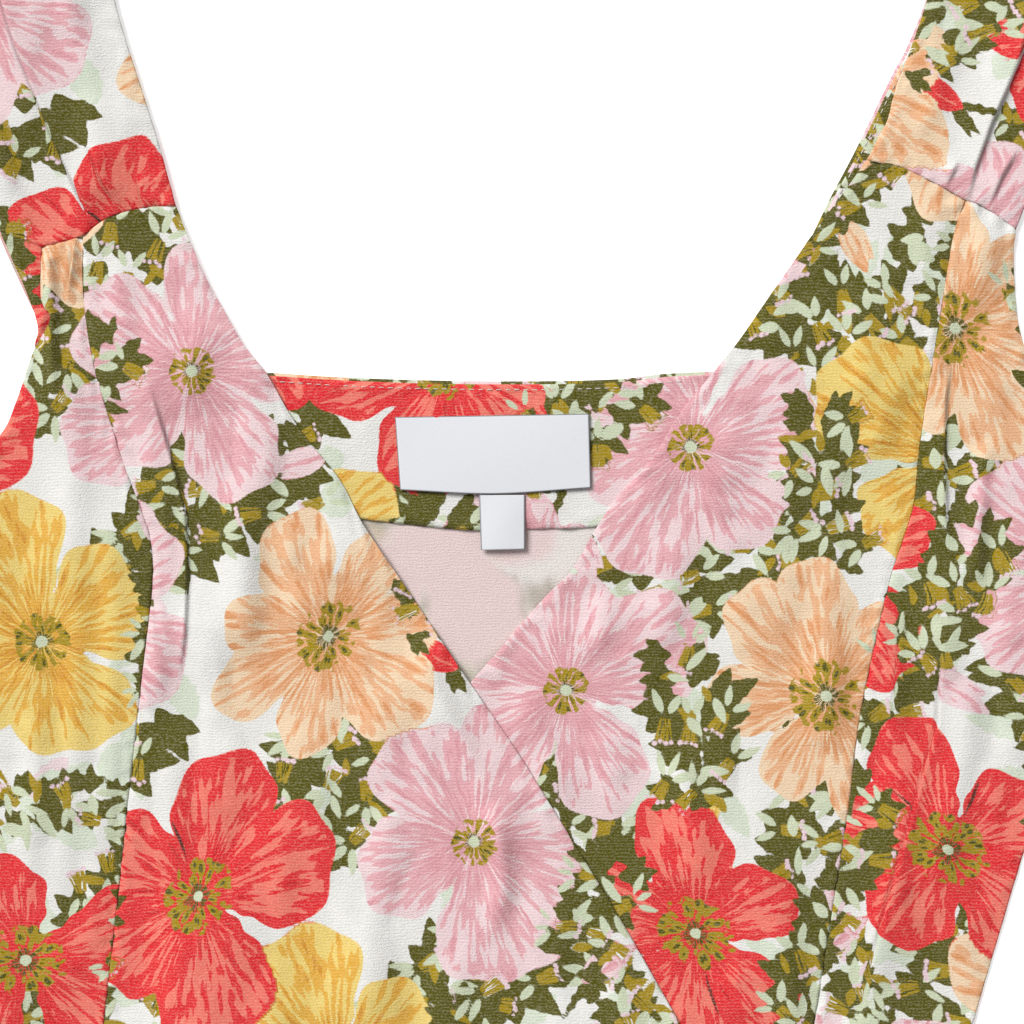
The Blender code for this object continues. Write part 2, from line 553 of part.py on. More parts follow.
def front_outlines():
    """The two fronts. Each is a centre, a side and a strap, which share their seams."""
    princess_left = smooth_curve(PRINCESS_LEFT, BODY_STEP)
    princess_right = smooth_curve(PRINCESS_RIGHT, BODY_STEP)
    seam_left = smooth_curve(STRAP_SEAM_LEFT, STRAP_STEP)
    seam_left_side = smooth_curve(STRAP_SEAM_LEFT_SIDE, STRAP_STEP)
    seam_right = smooth_curve(STRAP_SEAM_RIGHT, STRAP_STEP)
    seam_right_side = smooth_curve(STRAP_SEAM_RIGHT_SIDE, STRAP_STEP)
    tail_left = smooth_curve(STRAP_TAIL_LEFT, STRAP_STEP)
    side_left = smooth_curve(SIDE_LEFT, SIDE_STEP)
    side_right = smooth_curve(SIDE_RIGHT, SIDE_STEP)
    wrap_over = smooth_curve(WRAP_OVER, BODY_STEP)
    wrap_under = smooth_curve(WRAP_UNDER, BODY_STEP)
    inner_left = smooth_curve(STRAP_INNER_LEFT, STRAP_STEP)
    outer_left = smooth_curve(STRAP_OUTER_LEFT, STRAP_STEP)
    inner_right = smooth_curve(STRAP_INNER_RIGHT, STRAP_STEP)
    outer_right = smooth_curve(STRAP_OUTER_RIGHT, STRAP_STEP)
    return {
        "front_centre_over": joined(
            smooth_curve(NECK_OVER, BODY_STEP), wrap_over, straight(wrap_over[-1], princess_left[-1]),
            princess_left[::-1], seam_left[::-1],
        ),
        "front_side_over": joined(
            princess_left, straight(princess_left[-1], side_left[-1]), side_left[::-1],
            smooth_curve(ARMHOLE_LEFT, BODY_STEP)[::-1], tail_left[::-1], seam_left_side[::-1],
        ),
        "front_centre_under": joined(
            smooth_curve(NECK_UNDER, BODY_STEP), wrap_under, straight(wrap_under[-1], princess_right[-1]),
            princess_right[::-1], seam_right[::-1],
        ),
        "front_side_under": joined(
            princess_right, straight(princess_right[-1], side_right[-1]), side_right[::-1],
            smooth_curve(ARMHOLE_RIGHT, BODY_STEP)[::-1], seam_right_side[::-1],
        ),
        "strap_front_left": joined(
            inner_left, straight(inner_left[-1], outer_left[-1], SHOULDER_STEP), outer_left[::-1],
            tail_left[::-1], seam_left_side[::-1], seam_left[::-1],
        ),
        "strap_front_right": joined(
            inner_right, straight(inner_right[-1], outer_right[-1], SHOULDER_STEP), outer_right[::-1],
            seam_right_side[::-1], seam_right[::-1],
        ),
    }


def skirt_outlines():
    """The skirt's back, and its two fronts, which lap as the bodice's do."""
    left, right = side_line(-1.0), side_line(1.0)
    over, under = wrap_line("over_edge"), wrap_line("under_edge")
    return {
        "skirt_back": joined(
            straight(left[0], right[0], SKIRT_STEP), right, hem_line(right[-1][0], left[-1][0]), left[::-1],
        ),
        "skirt_over": joined(
            straight(left[0], over[0], SKIRT_STEP / 2), over, hem_line(over[-1][0], left[-1][0]), left[::-1],
        ),
        "skirt_under": joined(
            straight(under[0], right[0], SKIRT_STEP), right, hem_line(right[-1][0], under[-1][0]),
            under[::-1],
        ),
    }


def tie_outlines():
    """The two ties run from the wrap's corner and the side seam to the knot, and hang from it."""
    wide, narrow = TIE_WIDTH / 2, TIE_AT_KNOT / 2
    knot_left, knot_right = KNOT_AT[0] - TIE_TO_KNOT, KNOT_AT[0] + TIE_TO_KNOT
    corner = WRAP_OVER[-1][0]
    return {
        "tie_front": np.array([
            (corner - TIE_LEAN, WAIST_Y + wide), (knot_left, WAIST_Y + narrow),
            (knot_left, WAIST_Y - narrow), (corner + 1.0, WAIST_Y - wide), (corner, WAIST_Y),
        ]),
        "tie_side": np.array([
            (knot_right, WAIST_Y + narrow), (WAIST_RIGHT + TIE_LEAN / 2, WAIST_Y + wide),
            (WAIST_RIGHT, WAIST_Y), (WAIST_RIGHT + TIE_LEAN, WAIST_Y - wide), (knot_right, WAIST_Y - narrow),
        ]),
        "tie_end_inner": tie_end_outline(TIE_END_INNER),
        "tie_end_outer": tie_end_outline(TIE_END_OUTER),
    }


def make_knot():
    """The knot is a flattened ball that lies on the ties' ends."""
    bpy.ops.mesh.primitive_uv_sphere_add(segments=24, ring_count=12, radius=1.0)
    knot = bpy.context.object
    knot.name = "tie_knot"
    knot.data.name = "tie_knot"
    half = Vector(KNOT_HALF) * MM
    for vertex in knot.data.vertices:
        vertex.co = Vector((vertex.co.x * half.x, vertex.co.y * half.y, vertex.co.z * half.z))
    knot.location = (KNOT_AT[0] * MM, KNOT_AT[1] * MM, (2 * LAYER + KNOT_HALF[2]) * MM)
    knot.data.materials.append(material_for("tie_knot", "crepe_tie"))
    knot.data.shade_smooth()
    return knot


def build():
    for old in list(bpy.data.objects):
        bpy.data.objects.remove(old)
    dress = bpy.data.collections.new("wrap_dress")
    bpy.context.scene.collection.children.link(dress)

    outlines = {
        **back_outlines(), **front_outlines(), **skirt_outlines(), **tie_outlines(),
        "main_label": np.array(LABEL_OUTLINE), "size_tag": np.array(SIZE_TAG_OUTLINE),
    }
    pieces = [piece_of_cloth(piece, outlines) for piece in PIECES]
    pieces.append(make_knot())

    origin = bpy.data.objects.new("dress_origin", None)
    origin.location = (-WAIST_MIDDLE * MM, -(SHOULDER_Y + HEM_Y) / 2 * MM, 0.0)
    dress.objects.link(origin)
    for piece in pieces:
        for other in list(piece.users_collection):
            other.objects.unlink(piece)
        dress.objects.link(piece)
        piece.parent = origin


build()
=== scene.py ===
# %% [markdown]
# # A wrap dress of printed crepe, laid flat
#
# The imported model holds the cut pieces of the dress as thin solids. This lesson puts real
# cloth in their place: fine sheets with the folds of a dress that was laid down by hand, a
# print of large flowers, the ribs of the crepe, the label, the stitching and the knot.
# Sizes are millimetres until a mesh is written. X runs to the left hand of whoever wears
# the dress, Y to the shoulders, and Z up from the surface. The words left and right in the
# names of pieces are those of somebody who looks down on it.

# %% Load the frame
from collections import namedtuple

import bpy
import numpy as np
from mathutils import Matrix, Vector


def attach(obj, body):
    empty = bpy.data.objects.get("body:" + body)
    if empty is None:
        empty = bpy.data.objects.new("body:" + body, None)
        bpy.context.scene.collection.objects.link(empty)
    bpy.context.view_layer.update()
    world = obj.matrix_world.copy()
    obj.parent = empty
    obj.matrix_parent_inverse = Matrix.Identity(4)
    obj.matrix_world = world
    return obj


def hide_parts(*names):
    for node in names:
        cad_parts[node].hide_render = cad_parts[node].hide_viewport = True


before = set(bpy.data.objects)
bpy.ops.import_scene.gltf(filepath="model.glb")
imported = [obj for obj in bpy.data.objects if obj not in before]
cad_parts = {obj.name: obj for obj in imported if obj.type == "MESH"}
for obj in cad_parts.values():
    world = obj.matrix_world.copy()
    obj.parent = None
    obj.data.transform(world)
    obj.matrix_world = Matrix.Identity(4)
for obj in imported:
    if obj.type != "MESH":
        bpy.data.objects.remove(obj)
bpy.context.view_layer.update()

# %% [markdown]
# ## Sizes
# A pattern maker draws a bodice from a few measures: where the shoulder, the back neck and
# the waist lie, and how wide the body is there. The zero of these tables is a point on the
# centre front, between the bust points, so SHIFT moves a finished piece to the model's own
# zero, which is under the middle of the whole dress.

# %% Sizes
MM = 0.001
SHIFT = np.array([26.25, 372.25])
WALL = 0.7
LAYER = 1.3
FIRST_TOP = 1.0
SHOULDER_Y = 211.6
BACK_SEAM_Y = 52.2
WAIST_Y = -236.1
WAIST_LEFT = -209.4
WAIST_RIGHT = 156.9
WAIST_MIDDLE = (WAIST_LEFT + WAIST_RIGHT) / 2
WRAP_OVER_X = 89.2
WRAP_UNDER_X = -141.7
SEAM_LEFT_X = -156.9
SEAM_RIGHT_X = 105.1
SKIRT_LENGTH = 720.0
HEM_HALF_WIDTH = 370.0
HEM_RISE = 34.0
HEM_Y = WAIST_Y - SKIRT_LENGTH
FACING_DEPTH = 52.0
EDGE_ROLL = 1.2
TIE_WIDTH = 25.0
KNOT_AT = (138.0, WAIST_Y)
print("waist", WAIST_RIGHT - WAIST_LEFT, "mm across, hem", 2 * HEM_HALF_WIDTH, "mm")

# %% [markdown]
# ## Edges and seams
# Each cut piece is bounded by seams that it shares with its neighbours, so the seams are
# the data and the pieces follow from them. A few points fix each edge and a smooth curve
# joins them, as a cutter's flexible ruler does.

# %% Edges and seams of the bodice
EDGE = {
    "neck_over": [(-124.3, 113.2), (-119.5, 101.0), (-112.8, 86.0), (-105.6, 73.0), (-98.6, 61.2),
        (-91.4, 52.5)],
    "wrap_over": [(-91.4, 52.5), (-78.4, 30.3), (-63.6, 11.8), (-55.1, -4.4), (-38.1, -29.6),
        (-15.5, -63.3), (3.0, -90.3), (25.9, -127.3), (43.3, -156.1), (62.2, -189.4),
        (WRAP_OVER_X, WAIST_Y)],
    "neck_under": [(131.0, 130.2), (124.7, 121.0), (118.4, 112.5), (109.2, 99.9), (103.6, 91.8),
        (94.7, 79.2), (84.0, 63.6), (75.1, 52.5)],
    "wrap_under": [(75.1, 52.5), (62.2, 36.6), (52.5, 21.1), (38.1, 4.1), (30.7, -6.7), (22.2, -21.5),
        (12.9, -30.7), (2.6, -42.5), (-15.5, -63.3), (-63.6, -117.7), (-104.3, -169.5),
        (WRAP_UNDER_X, WAIST_Y)],
    "princess_left": [(-158.7, 102.1), (-158.5, 79.5), (-154.3, 53.3), (-144.7, 21.1), (-138.0, 2.6),
        (-133.9, -10.4), (-133.2, -28.0), (-137.3, -64.4), (-142.1, -106.6), (-146.5, -146.9),
        (-151.3, -189.4), (SEAM_LEFT_X, WAIST_Y)],
    "princess_right": [(167.6, 115.4), (163.5, 103.2), (160.2, 84.4), (155.8, 56.2), (151.3, 26.6),
        (148.4, 1.1), (141.0, -21.8), (135.1, -45.9), (128.8, -76.6), (124.3, -112.1), (119.1, -144.7),
        (112.1, -189.4), (SEAM_RIGHT_X, WAIST_Y)],
    "strap_seam_left": [(-158.7, 102.1), (-149.5, 108.8), (-136.2, 112.5), (-124.3, 113.2)],
    "strap_seam_left_side": [(-173.9, 98.0), (-163.5, 100.6), (-158.7, 102.1)],
    "strap_tail_left": [(-173.9, 98.0), (-174.2, 78.4), (-170.2, 71.8), (-176.5, 61.0)],
    "strap_seam_right": [(131.0, 130.2), (135.8, 129.1), (141.3, 128.4), (147.3, 126.2), (159.5, 119.9),
        (167.6, 115.4)],
    "strap_seam_right_side": [(167.6, 115.4), (175.0, 112.5), (186.5, 104.7)],
    "armhole_left": [(-176.5, 61.0), (-179.1, 54.0), (-185.7, 35.5), (-189.4, 28.9), (-200.5, 13.7),
        (-217.2, 0.0)],
    "armhole_right": [(186.5, 104.7), (185.7, 94.7), (187.2, 72.5), (189.4, 62.5), (193.9, 47.0),
        (202.0, 28.5), (211.6, 13.7), (222.0, 4.4)],
    "side_left": [(-217.2, 0.0), (-216.1, -69.6), (-213.9, -143.6), (WAIST_LEFT, WAIST_Y)],
    "side_right": [(222.0, 4.4), (206.5, -69.6), (184.3, -143.6), (WAIST_RIGHT, WAIST_Y)],
    "strap_inner_left": [(-152.4, SHOULDER_Y), (-146.9, 189.4), (-142.1, 172.4), (-134.7, 149.5),
        (-131.0, 137.6), (-126.2, 120.2), (-124.3, 113.2)],
    "strap_outer_left": [(-220.9, SHOULDER_Y), (-217.2, 196.8), (-210.9, 174.6), (-204.2, 148.7),
        (-196.8, 122.8), (-189.4, 104.0)],
    "tail_outer_left": [(-189.4, 104.0), (-185.0, 93.6), (-179.8, 81.8), (-175.4, 68.8), (-176.5, 61.0)],
    "strap_inner_right": [(160.2, SHOULDER_Y), (153.6, 189.4), (147.3, 170.9), (142.1, 156.9),
        (138.7, 144.4), (135.3, 138.4), (133.6, 134.2), (131.0, 130.2)],
    "strap_outer_right": [(227.9, SHOULDER_Y), (223.1, 196.8), (215.7, 178.3), (204.6, 152.4),
        (195.4, 130.2), (189.4, 112.1), (186.5, 104.7)],
}
print(len(EDGE), "edges of the bodice")

# %% [markdown]
# The back lies under all of this. Its neck and strap edges are faced: a narrow second layer,
# right side out, is turned to the inside, and it is what shows inside the neck of the dress.

# %% Edges of the back, the facing and the labels
EDGE.update({
    "back_neck": [(-98.8, BACK_SEAM_Y), (-91.4, 51.8), (-63.6, 50.0), (-29.6, 48.8), (7.8, 48.5),
        (38.1, 49.2), (55.1, 51.1), (75.1, BACK_SEAM_Y)],
    "back_inner_left": [(-153.9, SHOULDER_Y), (-149.8, 174.6), (-143.2, 145.0), (-133.9, 119.1),
        (-124.7, 96.9), (-115.4, 78.4), (-106.2, 61.8), (-98.8, BACK_SEAM_Y)],
    "back_inner_right": [(158.4, SHOULDER_Y), (152.8, 188.0), (145.8, 170.9), (141.7, 163.5),
        (133.1, 145.8), (126.4, 132.1), (117.8, 115.9), (109.5, 99.0), (103.0, 89.5), (94.2, 77.5),
        (83.0, 62.0), (75.1, BACK_SEAM_Y)],
    "back_outer_left": [(-221.3, SHOULDER_Y), (-217.9, 196.8), (-211.9, 174.6), (-205.5, 148.7),
        (-198.2, 122.8), (-190.8, 104.0), (-186.4, 93.6), (-181.0, 81.8), (-174.8, 68.4), (-174.9, 62.0),
        (-178.0, BACK_SEAM_Y)],
    "back_outer_right": [(227.6, SHOULDER_Y), (222.4, 196.8), (214.8, 178.3), (203.7, 152.4),
        (194.5, 130.2), (188.5, 112.1), (185.7, 104.7), (184.8, 94.7), (186.2, 72.5), (188.4, 62.5),
        (191.0, BACK_SEAM_Y)],
    "back_armhole_left": [(-178.0, BACK_SEAM_Y), (-184.6, 35.5), (-188.3, 28.9), (-199.6, 14.2),
        (-217.2, 0.0)],
    "back_armhole_right": [(191.0, BACK_SEAM_Y), (201.0, 28.5), (210.8, 13.7), (222.0, 4.4)],
    "facing_lower": [(-150.0, BACK_SEAM_Y), (-128.0, 24.0), (-92.0, 4.0), (-55.9, -2.6), (-15.9, -6.7),
        (7.8, -6.3), (32.2, -5.2), (72.0, 2.0), (106.0, 22.0), (128.0, BACK_SEAM_Y)],
    "label_top": [(-43.3, 35.1), (28.5, 36.3)],
    "label_bottom": [(-41.4, 8.1), (-6.7, 6.6), (29.2, 8.9)],
    "tag_top": [(-12.2, 6.3), (4.8, 6.3)],
    "tag_bottom": [(-11.5, -14.1), (4.8, -13.7)],
})
print(len(EDGE), "edges with those of the back, the facing and the labels")

# %% [markdown]
# The skirt and the ties are plain enough for a table of their widths down their length.

# %% Tables of the skirt and the ties
SkirtRow = namedtuple("SkirtRow", "down side over_edge under_edge")
SKIRT_ROWS = [SkirtRow(*row) for row in (
    (0.0, 183.15, WRAP_OVER_X, WRAP_UNDER_X),
    (60.0, 208.0, 92.5, -143.0),
    (130.0, 233.0, 101.0, -147.0),
    (240.0, 262.0, 117.0, -154.0),
    (430.0, 304.0, 146.0, -167.0),
    (600.0, 342.0, 171.0, -179.0),
    (SKIRT_LENGTH, HEM_HALF_WIDTH, 189.0, -187.0),
)]
TieRow = namedtuple("TieRow", "down x width")
TIE_ENDS = {
    "tie_end_inner": [TieRow(*row) for row in (
        (9.5, 131.0, 12.0), (30.0, 128.5, 17.0), (64.0, 126.5, 24.0),
        (144.0, 131.0, TIE_WIDTH), (234.0, 125.0, TIE_WIDTH), (338.0, 133.0, TIE_WIDTH),
    )],
    "tie_end_outer": [TieRow(*row) for row in (
        (9.5, 146.0, 12.0), (30.0, 152.0, 17.0), (64.0, 161.0, 24.0),
        (134.0, 171.0, TIE_WIDTH), (214.0, 187.0, TIE_WIDTH), (286.0, 197.0, TIE_WIDTH),
    )],
}
TIE_TIP = 11.0
print(len(SKIRT_ROWS), "rows for the skirt and", len(TIE_ENDS), "tie ends")

# %% [markdown]
# ## From four edges to a sheet
# A cut piece has four sides, however curved. A Coons patch fills them: it rules straight
# lines from left to right, rules others from top to bottom, adds the two and takes away
# what both counted, the bilinear part of the corners. The grid then follows every edge.

# %% Curves and patches
def ease(t):
    """0 before 0, 1 after 1, and a smooth S between them."""
    t = np.clip(t, 0.0, 1.0)
    return t * t * (3 - 2 * t)


def curve(points, step=3.0):
    """A Catmull-Rom curve through the points: a cubic between each two, with a point every step."""
    p = np.array(points, float)
    ends = np.vstack([2 * p[0] - p[1], p, 2 * p[-1] - p[-2]])
    made = []
    for a, b, c, d in zip(ends, ends[1:], ends[2:], ends[3:]):
        count = max(1, int(round(np.hypot(*(c - b)) / step)))
        t = (np.arange(count) / count)[:, None]
        made.append(b + 0.5 * t * (c - a + t * (2 * a - 5 * b + 4 * c - d + t * (3 * (b - c) + d - a))))
    return np.vstack([*made, p[-1:]])


def edge(*names):
    """The named edges, end to end."""
    parts = [curve(EDGE[name]) for name in names]
    return np.vstack([parts[0], *[part[1:] for part in parts[1:]]])


def spaced(line, count):
    """count points along the line, evenly apart along its length."""
    run = np.concatenate([[0.0], np.cumsum(np.hypot(*np.diff(line, axis=0).T))])
    at = np.linspace(0.0, run[-1], count)
    return np.column_stack([np.interp(at, run, line[:, 0]), np.interp(at, run, line[:, 1])])


def patch(top, bottom, left, right, columns, rows):
    """Grid (rows, columns, 2) between four edges: ruled across, plus ruled down, less the corners."""
    top, bottom = spaced(np.array(top, float), columns), spaced(np.array(bottom, float), columns)
    left, right = spaced(np.array(left, float), rows), spaced(np.array(right, float), rows)
    u = np.linspace(0.0, 1.0, columns)[None, :, None]
    v = np.linspace(0.0, 1.0, rows)[:, None, None]
    across = (1 - u) * left[:, None] + u * right[:, None]
    down = (1 - v) * top[None] + v * bottom[None]
    corners = (1 - v) * ((1 - u) * top[0] + u * top[-1]) + v * ((1 - u) * bottom[0] + u * bottom[-1])
    return across + down - corners


def strip(left, right, columns, rows):
    """A patch between two long edges, whose short edges are straight."""
    return patch([left[0], right[0]], [left[-1], right[-1]], left, right, columns, rows)


def outline_of(grid):
    """The grid's four edges as one loop."""
    return np.vstack([grid[0], grid[1:, -1], grid[-1, -2::-1], grid[-2:0:-1, 0]])


def area_of(loop):
    """Area inside a loop of points, by the shoelace rule."""
    x, y = loop.T
    return abs(0.5 * float((x * np.roll(y, -1) - np.roll(x, -1) * y).sum()))


print("the over front's free edge is a curve of", len(edge("neck_over", "wrap_over")), "points")

# %% [markdown]
# The skirt is drawn from a short table of half widths down its length. Its side seams are
# as long as its middle, so the hem rises in a shallow arc towards them.

# %% Skirt lines
LONG_STEP = 12.0
HEM_POINTS = 60


def hem_y(x):
    """The hem's height: lowest at the middle, HEM_RISE higher at the side seams, a parabola."""
    return HEM_Y + HEM_RISE * ((x - WAIST_MIDDLE) / HEM_HALF_WIDTH) ** 2


def skirt_line(column, sign=None):
    """A line down the skirt from the table. With a sign it is measured from the middle."""
    x = np.array([getattr(row, column) for row in SKIRT_ROWS])
    if sign is not None:
        x = WAIST_MIDDLE + sign * x
    down = np.array([row.down for row in SKIRT_ROWS])
    y = WAIST_Y + down * (hem_y(x[-1]) - WAIST_Y) / SKIRT_LENGTH
    return curve(np.column_stack([x, y]), LONG_STEP)


def skirt_panel(left, right, columns, rows):
    """A patch between two lines down the skirt, from the waist to the hem."""
    x = np.linspace(left[-1, 0], right[-1, 0], HEM_POINTS)
    return patch([left[0], right[0]], np.column_stack([x, hem_y(x)]), left, right, columns, rows)


SIDE_LINE_LEFT = skirt_line("side", -1)
SIDE_LINE_RIGHT = skirt_line("side", 1)
OVER_LINE = skirt_line("over_edge")
UNDER_LINE = skirt_line("under_edge")
print("hem from", SIDE_LINE_LEFT[-1].round(1), "to", SIDE_LINE_RIGHT[-1].round(1))

# %% [markdown]
# ## Folds
# Nothing about a laid dress is quite flat. Three kinds of form make it look like cloth: a
# pleat, which steps up on one side of its line and falls away, and swallows a little of the
# print; a ridge, which is a soft round wave; and a slight unevenness everywhere. Each is a
# function of the distance from a line, so that folds can be placed one by one in short tables.

# %% Fold tables
Crease = namedtuple("Crease", "kind height reach fade_in fade_out tuck line")
RIDGE_GAIN = 1.5
PLEAT_GAIN = 1.2


def ridge(height, reach, fade_in, fade_out, *line):
    """A round wave along a line. It grows over fade_in from its start and dies over fade_out."""
    return Crease("ridge", height * RIDGE_GAIN, reach, fade_in, fade_out, 0, line)


def pleat(height, reach, fade_in, fade_out, tuck, *line):
    """A step on the left of its line, which hides tuck millimetres of the print."""
    return Crease("pleat", height * PLEAT_GAIN, reach, fade_in, fade_out, tuck, line)


CREASES = {
    "strap_front_left": [
        pleat(2.2, 24, 0, 16, 9, (-196, 211.6), (-183.9, 172.1), (-171.7, 142.1), (-160.9, 118.4),
              (-155, 105)),
        pleat(1.5, 11, 9, 12, 6, (-157.4, 137), (-152.4, 123.6), (-147.6, 115.4), (-146, 108)),
        pleat(1.2, 8, 7, 9, 4, (-139.6, 126.5), (-138.4, 121), (-136, 110)),
        ridge(0.9, 5, 20, 24, (-168, 205), (-160, 178), (-152, 150)),
        ridge(0.8, 4, 10, 18, (-178, 100), (-186, 124), (-196, 158)),
    ],
    "strap_front_right": [
        pleat(2.2, 24, 16, 0, 9, (168.6, 114), (171.3, 126.5), (177.6, 143.9), (186.8, 165),
              (200, 211.6)),
        pleat(1.5, 11, 12, 9, 6, (176, 110), (178, 116.5), (181.3, 124), (188, 135)),
        pleat(1.2, 8, 9, 6, 4, (159.5, 118), (161.2, 121.5), (165.6, 130.5)),
        ridge(0.9, 5, 14, 26, (148, 132), (158, 158), (170, 190)),
        ridge(0.8, 6, 16, 24, (186, 126), (198, 158), (210, 196)),
    ],
    "front_side_over": [
        pleat(1.7, 5.5, 9, 16, 3, (-162.4, 102), (-163, 92), (-164.4, 84), (-166, 74)),
        ridge(1.7, 2.6, 3, 22, (-171.4, 96), (-170.4, 78), (-170.2, 60), (-169, 38)),
        ridge(1.3, 7, 26, 60, (-166, 30), (-161, -20), (-162, -90), (-170, -170)),
        ridge(1.0, 9, 30, 40, (-196, 4), (-190, -50), (-188, -120)),
        ridge(1.0, 5, 20, 30, (-150, 4), (-147, -40), (-150, -96)),
        ridge(1.1, 6, 20, 24, (-178, -66), (-176, -104), (-181, -150)),
        ridge(1.2, 10, 40, 0, (-188, -150), (-184, -190), (-182, WAIST_Y)),
    ],
    "front_centre_over": [
        pleat(1.1, 17, 20, 22, 7, (-123.2, -64.4), (-120.6, -44), (-119.9, -20.7), (-120.6, 1.1),
              (-127, 24), (-134.5, 50)),
        ridge(0.9, 2.6, 14, 16, (-141.6, -54), (-142.4, -62), (-142.2, -72)),
        ridge(1.9, 7, 24, 22, (-101.5, 16), (-99, -20), (-99.8, -62)),
        ridge(1.3, 6, 18, 20, (-132, -30), (-131, -54), (-133, -80)),
        ridge(1.3, 5, 16, 16, (-84, -2), (-80.5, -24), (-77, -46)),
        ridge(1.7, 5.5, 16, 20, (-36, -42), (-27.8, -67), (-16, -92), (-8.1, -109)),
        ridge(1.9, 4.5, 14, 22, (-10, -106), (-4.5, -122), (-3.6, -140), (-8, -162)),
        ridge(1.2, 6, 24, 26, (-62, -40), (-50, -72), (-44, -108)),
        ridge(1.1, 7, 24, 30, (-124, -74), (-126, -104), (-122, -150)),
        ridge(1.0, 6, 20, 30, (-112, 78), (-118, 52), (-118, 20)),
        ridge(0.8, 5, 14, 20, (-146, 98), (-145, 78), (-140, 52)),
        ridge(1.8, 15, 40, 0, (-104, -120), (-108, -180), (-112, WAIST_Y)),
        ridge(1.6, 13, 40, 0, (-52, -140), (-56, -190), (-58, WAIST_Y)),
        ridge(1.2, 12, 40, 0, (12, -170), (14, -200), (18, WAIST_Y)),
    ],
    "front_side_under": [
        pleat(1.1, 13, 16, 16, 5, (162.5, -14), (160.9, -3), (160.4, 20), (160.9, 41.4), (163, 58)),
        ridge(1.7, 3.6, 12, 14, (174.5, 28), (173.2, 3.3), (171.9, -4), (171.6, -30)),
        pleat(1.0, 9, 10, 16, 4, (143.4, -30), (142.6, -52), (141.4, -66), (139.6, -84)),
        ridge(1.1, 6, 20, 26, (146, -120), (139, -152), (134, -186)),
        pleat(1.7, 20, 22, 34, 7, (158.6, -40), (156.9, -78.4), (147.3, -111), (140.2, -136.2),
              (132.5, -165.8), (127, -196)),
        ridge(1.5, 7, 24, 30, (170, -50), (168, -88), (159, -124), (150, -160)),
        ridge(1.0, 8, 26, 30, (190, 20), (186, -24), (178, -70)),
        ridge(0.9, 5, 10, 24, (173, 106), (172, 88), (170, 64)),
    ],
    "front_centre_under": [
        ridge(1.4, 6, 16, 18, (35.4, -28), (32.6, -44), (27, -60)),
        ridge(1.2, 7, 14, 16, (9, -62), (5.9, -75.5), (4, -92)),
        ridge(1.3, 9, 24, 26, (101, 60), (104, 30), (103, -8)),
        ridge(1.0, 6, 20, 26, (126, 92), (130, 66), (128, 34)),
        ridge(1.5, 11, 34, 36, (88, -90), (91, -130), (93, -190)),
        ridge(1.0, 8, 22, 22, (62, 4), (60, -26), (56, -54)),
        ridge(1.2, 7, 26, 26, (120, -14), (116, -50), (112, -92)),
        ridge(1.2, 6, 20, 26, (60, -78), (66, -112), (74, -150)),
        ridge(1.0, 5, 18, 22, (6, -76), (14, -92), (30, -112)),
    ],
    "skirt_over": [
        ridge(3.4, 17, 0, 150, (-112, WAIST_Y), (-128, -420), (-150, -640)),
        ridge(3.0, 16, 0, 160, (-58, WAIST_Y), (-62, -400), (-58, -600)),
        ridge(2.2, 12, 0, 140, (-168, WAIST_Y), (-196, -380), (-214, -500)),
        ridge(2.2, 13, 0, 130, (18, WAIST_Y), (26, -380), (30, -500)),
        ridge(3.2, 22, 150, 0, (-232, -520), (-262, -700), (-292, HEM_Y)),
        ridge(2.6, 18, 140, 0, (-128, -620), (-138, -790), (-146, HEM_Y)),
        ridge(3.6, 24, 170, 0, (-24, -560), (-18, -760), (-14, HEM_Y)),
        ridge(3.0, 20, 160, 0, (58, -600), (74, -780), (92, HEM_Y)),
        ridge(1.4, 7, 60, 90, (-78, -300), (-90, -430), (-98, -560)),
    ],
    "skirt_under": [
        ridge(3.2, 22, 160, 0, (214, -560), (240, -740), (266, HEM_Y)),
        ridge(2.2, 14, 0, 150, (128, WAIST_Y), (168, -420), (196, -560)),
    ],
}
print(sum(len(creases) for creases in CREASES.values()), "folds placed by hand")

# %% Fold forms
PLEAT_RAMP = 1.8
TUCK_FADE = 60.0
# Painted shade: the colour is darkened in a thin band at the foot of each pleat, where a deep fold would lie
# in shadow.
PAINTED_SHADE_AT, PAINTED_SHADE_WIDTH = -0.3, 0.8
FULL_TURN = 6.28
RIPPLES = 7
RIPPLE_LIMIT = 1.6


def beside(line, points):
    """Distance of each point from a line of points, positive on its left, how far along, and the normal.

    The nearest run of the line counts. The first and the last run go on without end.
    """
    run = np.diff(line, axis=0)
    length = np.hypot(*run.T)
    start = np.concatenate([[0.0], np.cumsum(length)[:-1]])
    best = np.full(points.shape[:-1], np.inf)
    off, along = np.zeros_like(best), np.zeros_like(best)
    normal = np.zeros_like(points)
    for i, unit in enumerate(run / length[:, None]):
        to = points - line[i]
        low = -np.inf if i == 0 else 0.0
        high = np.inf if i == len(run) - 1 else length[i]
        held = np.clip(to @ unit, low, high)
        gap = np.hypot(*np.moveaxis(to - held[..., None] * unit, -1, 0))
        closer = gap < best
        best = np.where(closer, gap, best)
        off = np.where(closer, np.sign(unit[0] * to[..., 1] - unit[1] * to[..., 0]) * gap, off)
        along = np.where(closer, start[i] + held, along)
        normal = np.where(closer[..., None], np.array([-unit[1], unit[0]]), normal)
    return off, along, normal, length.sum()


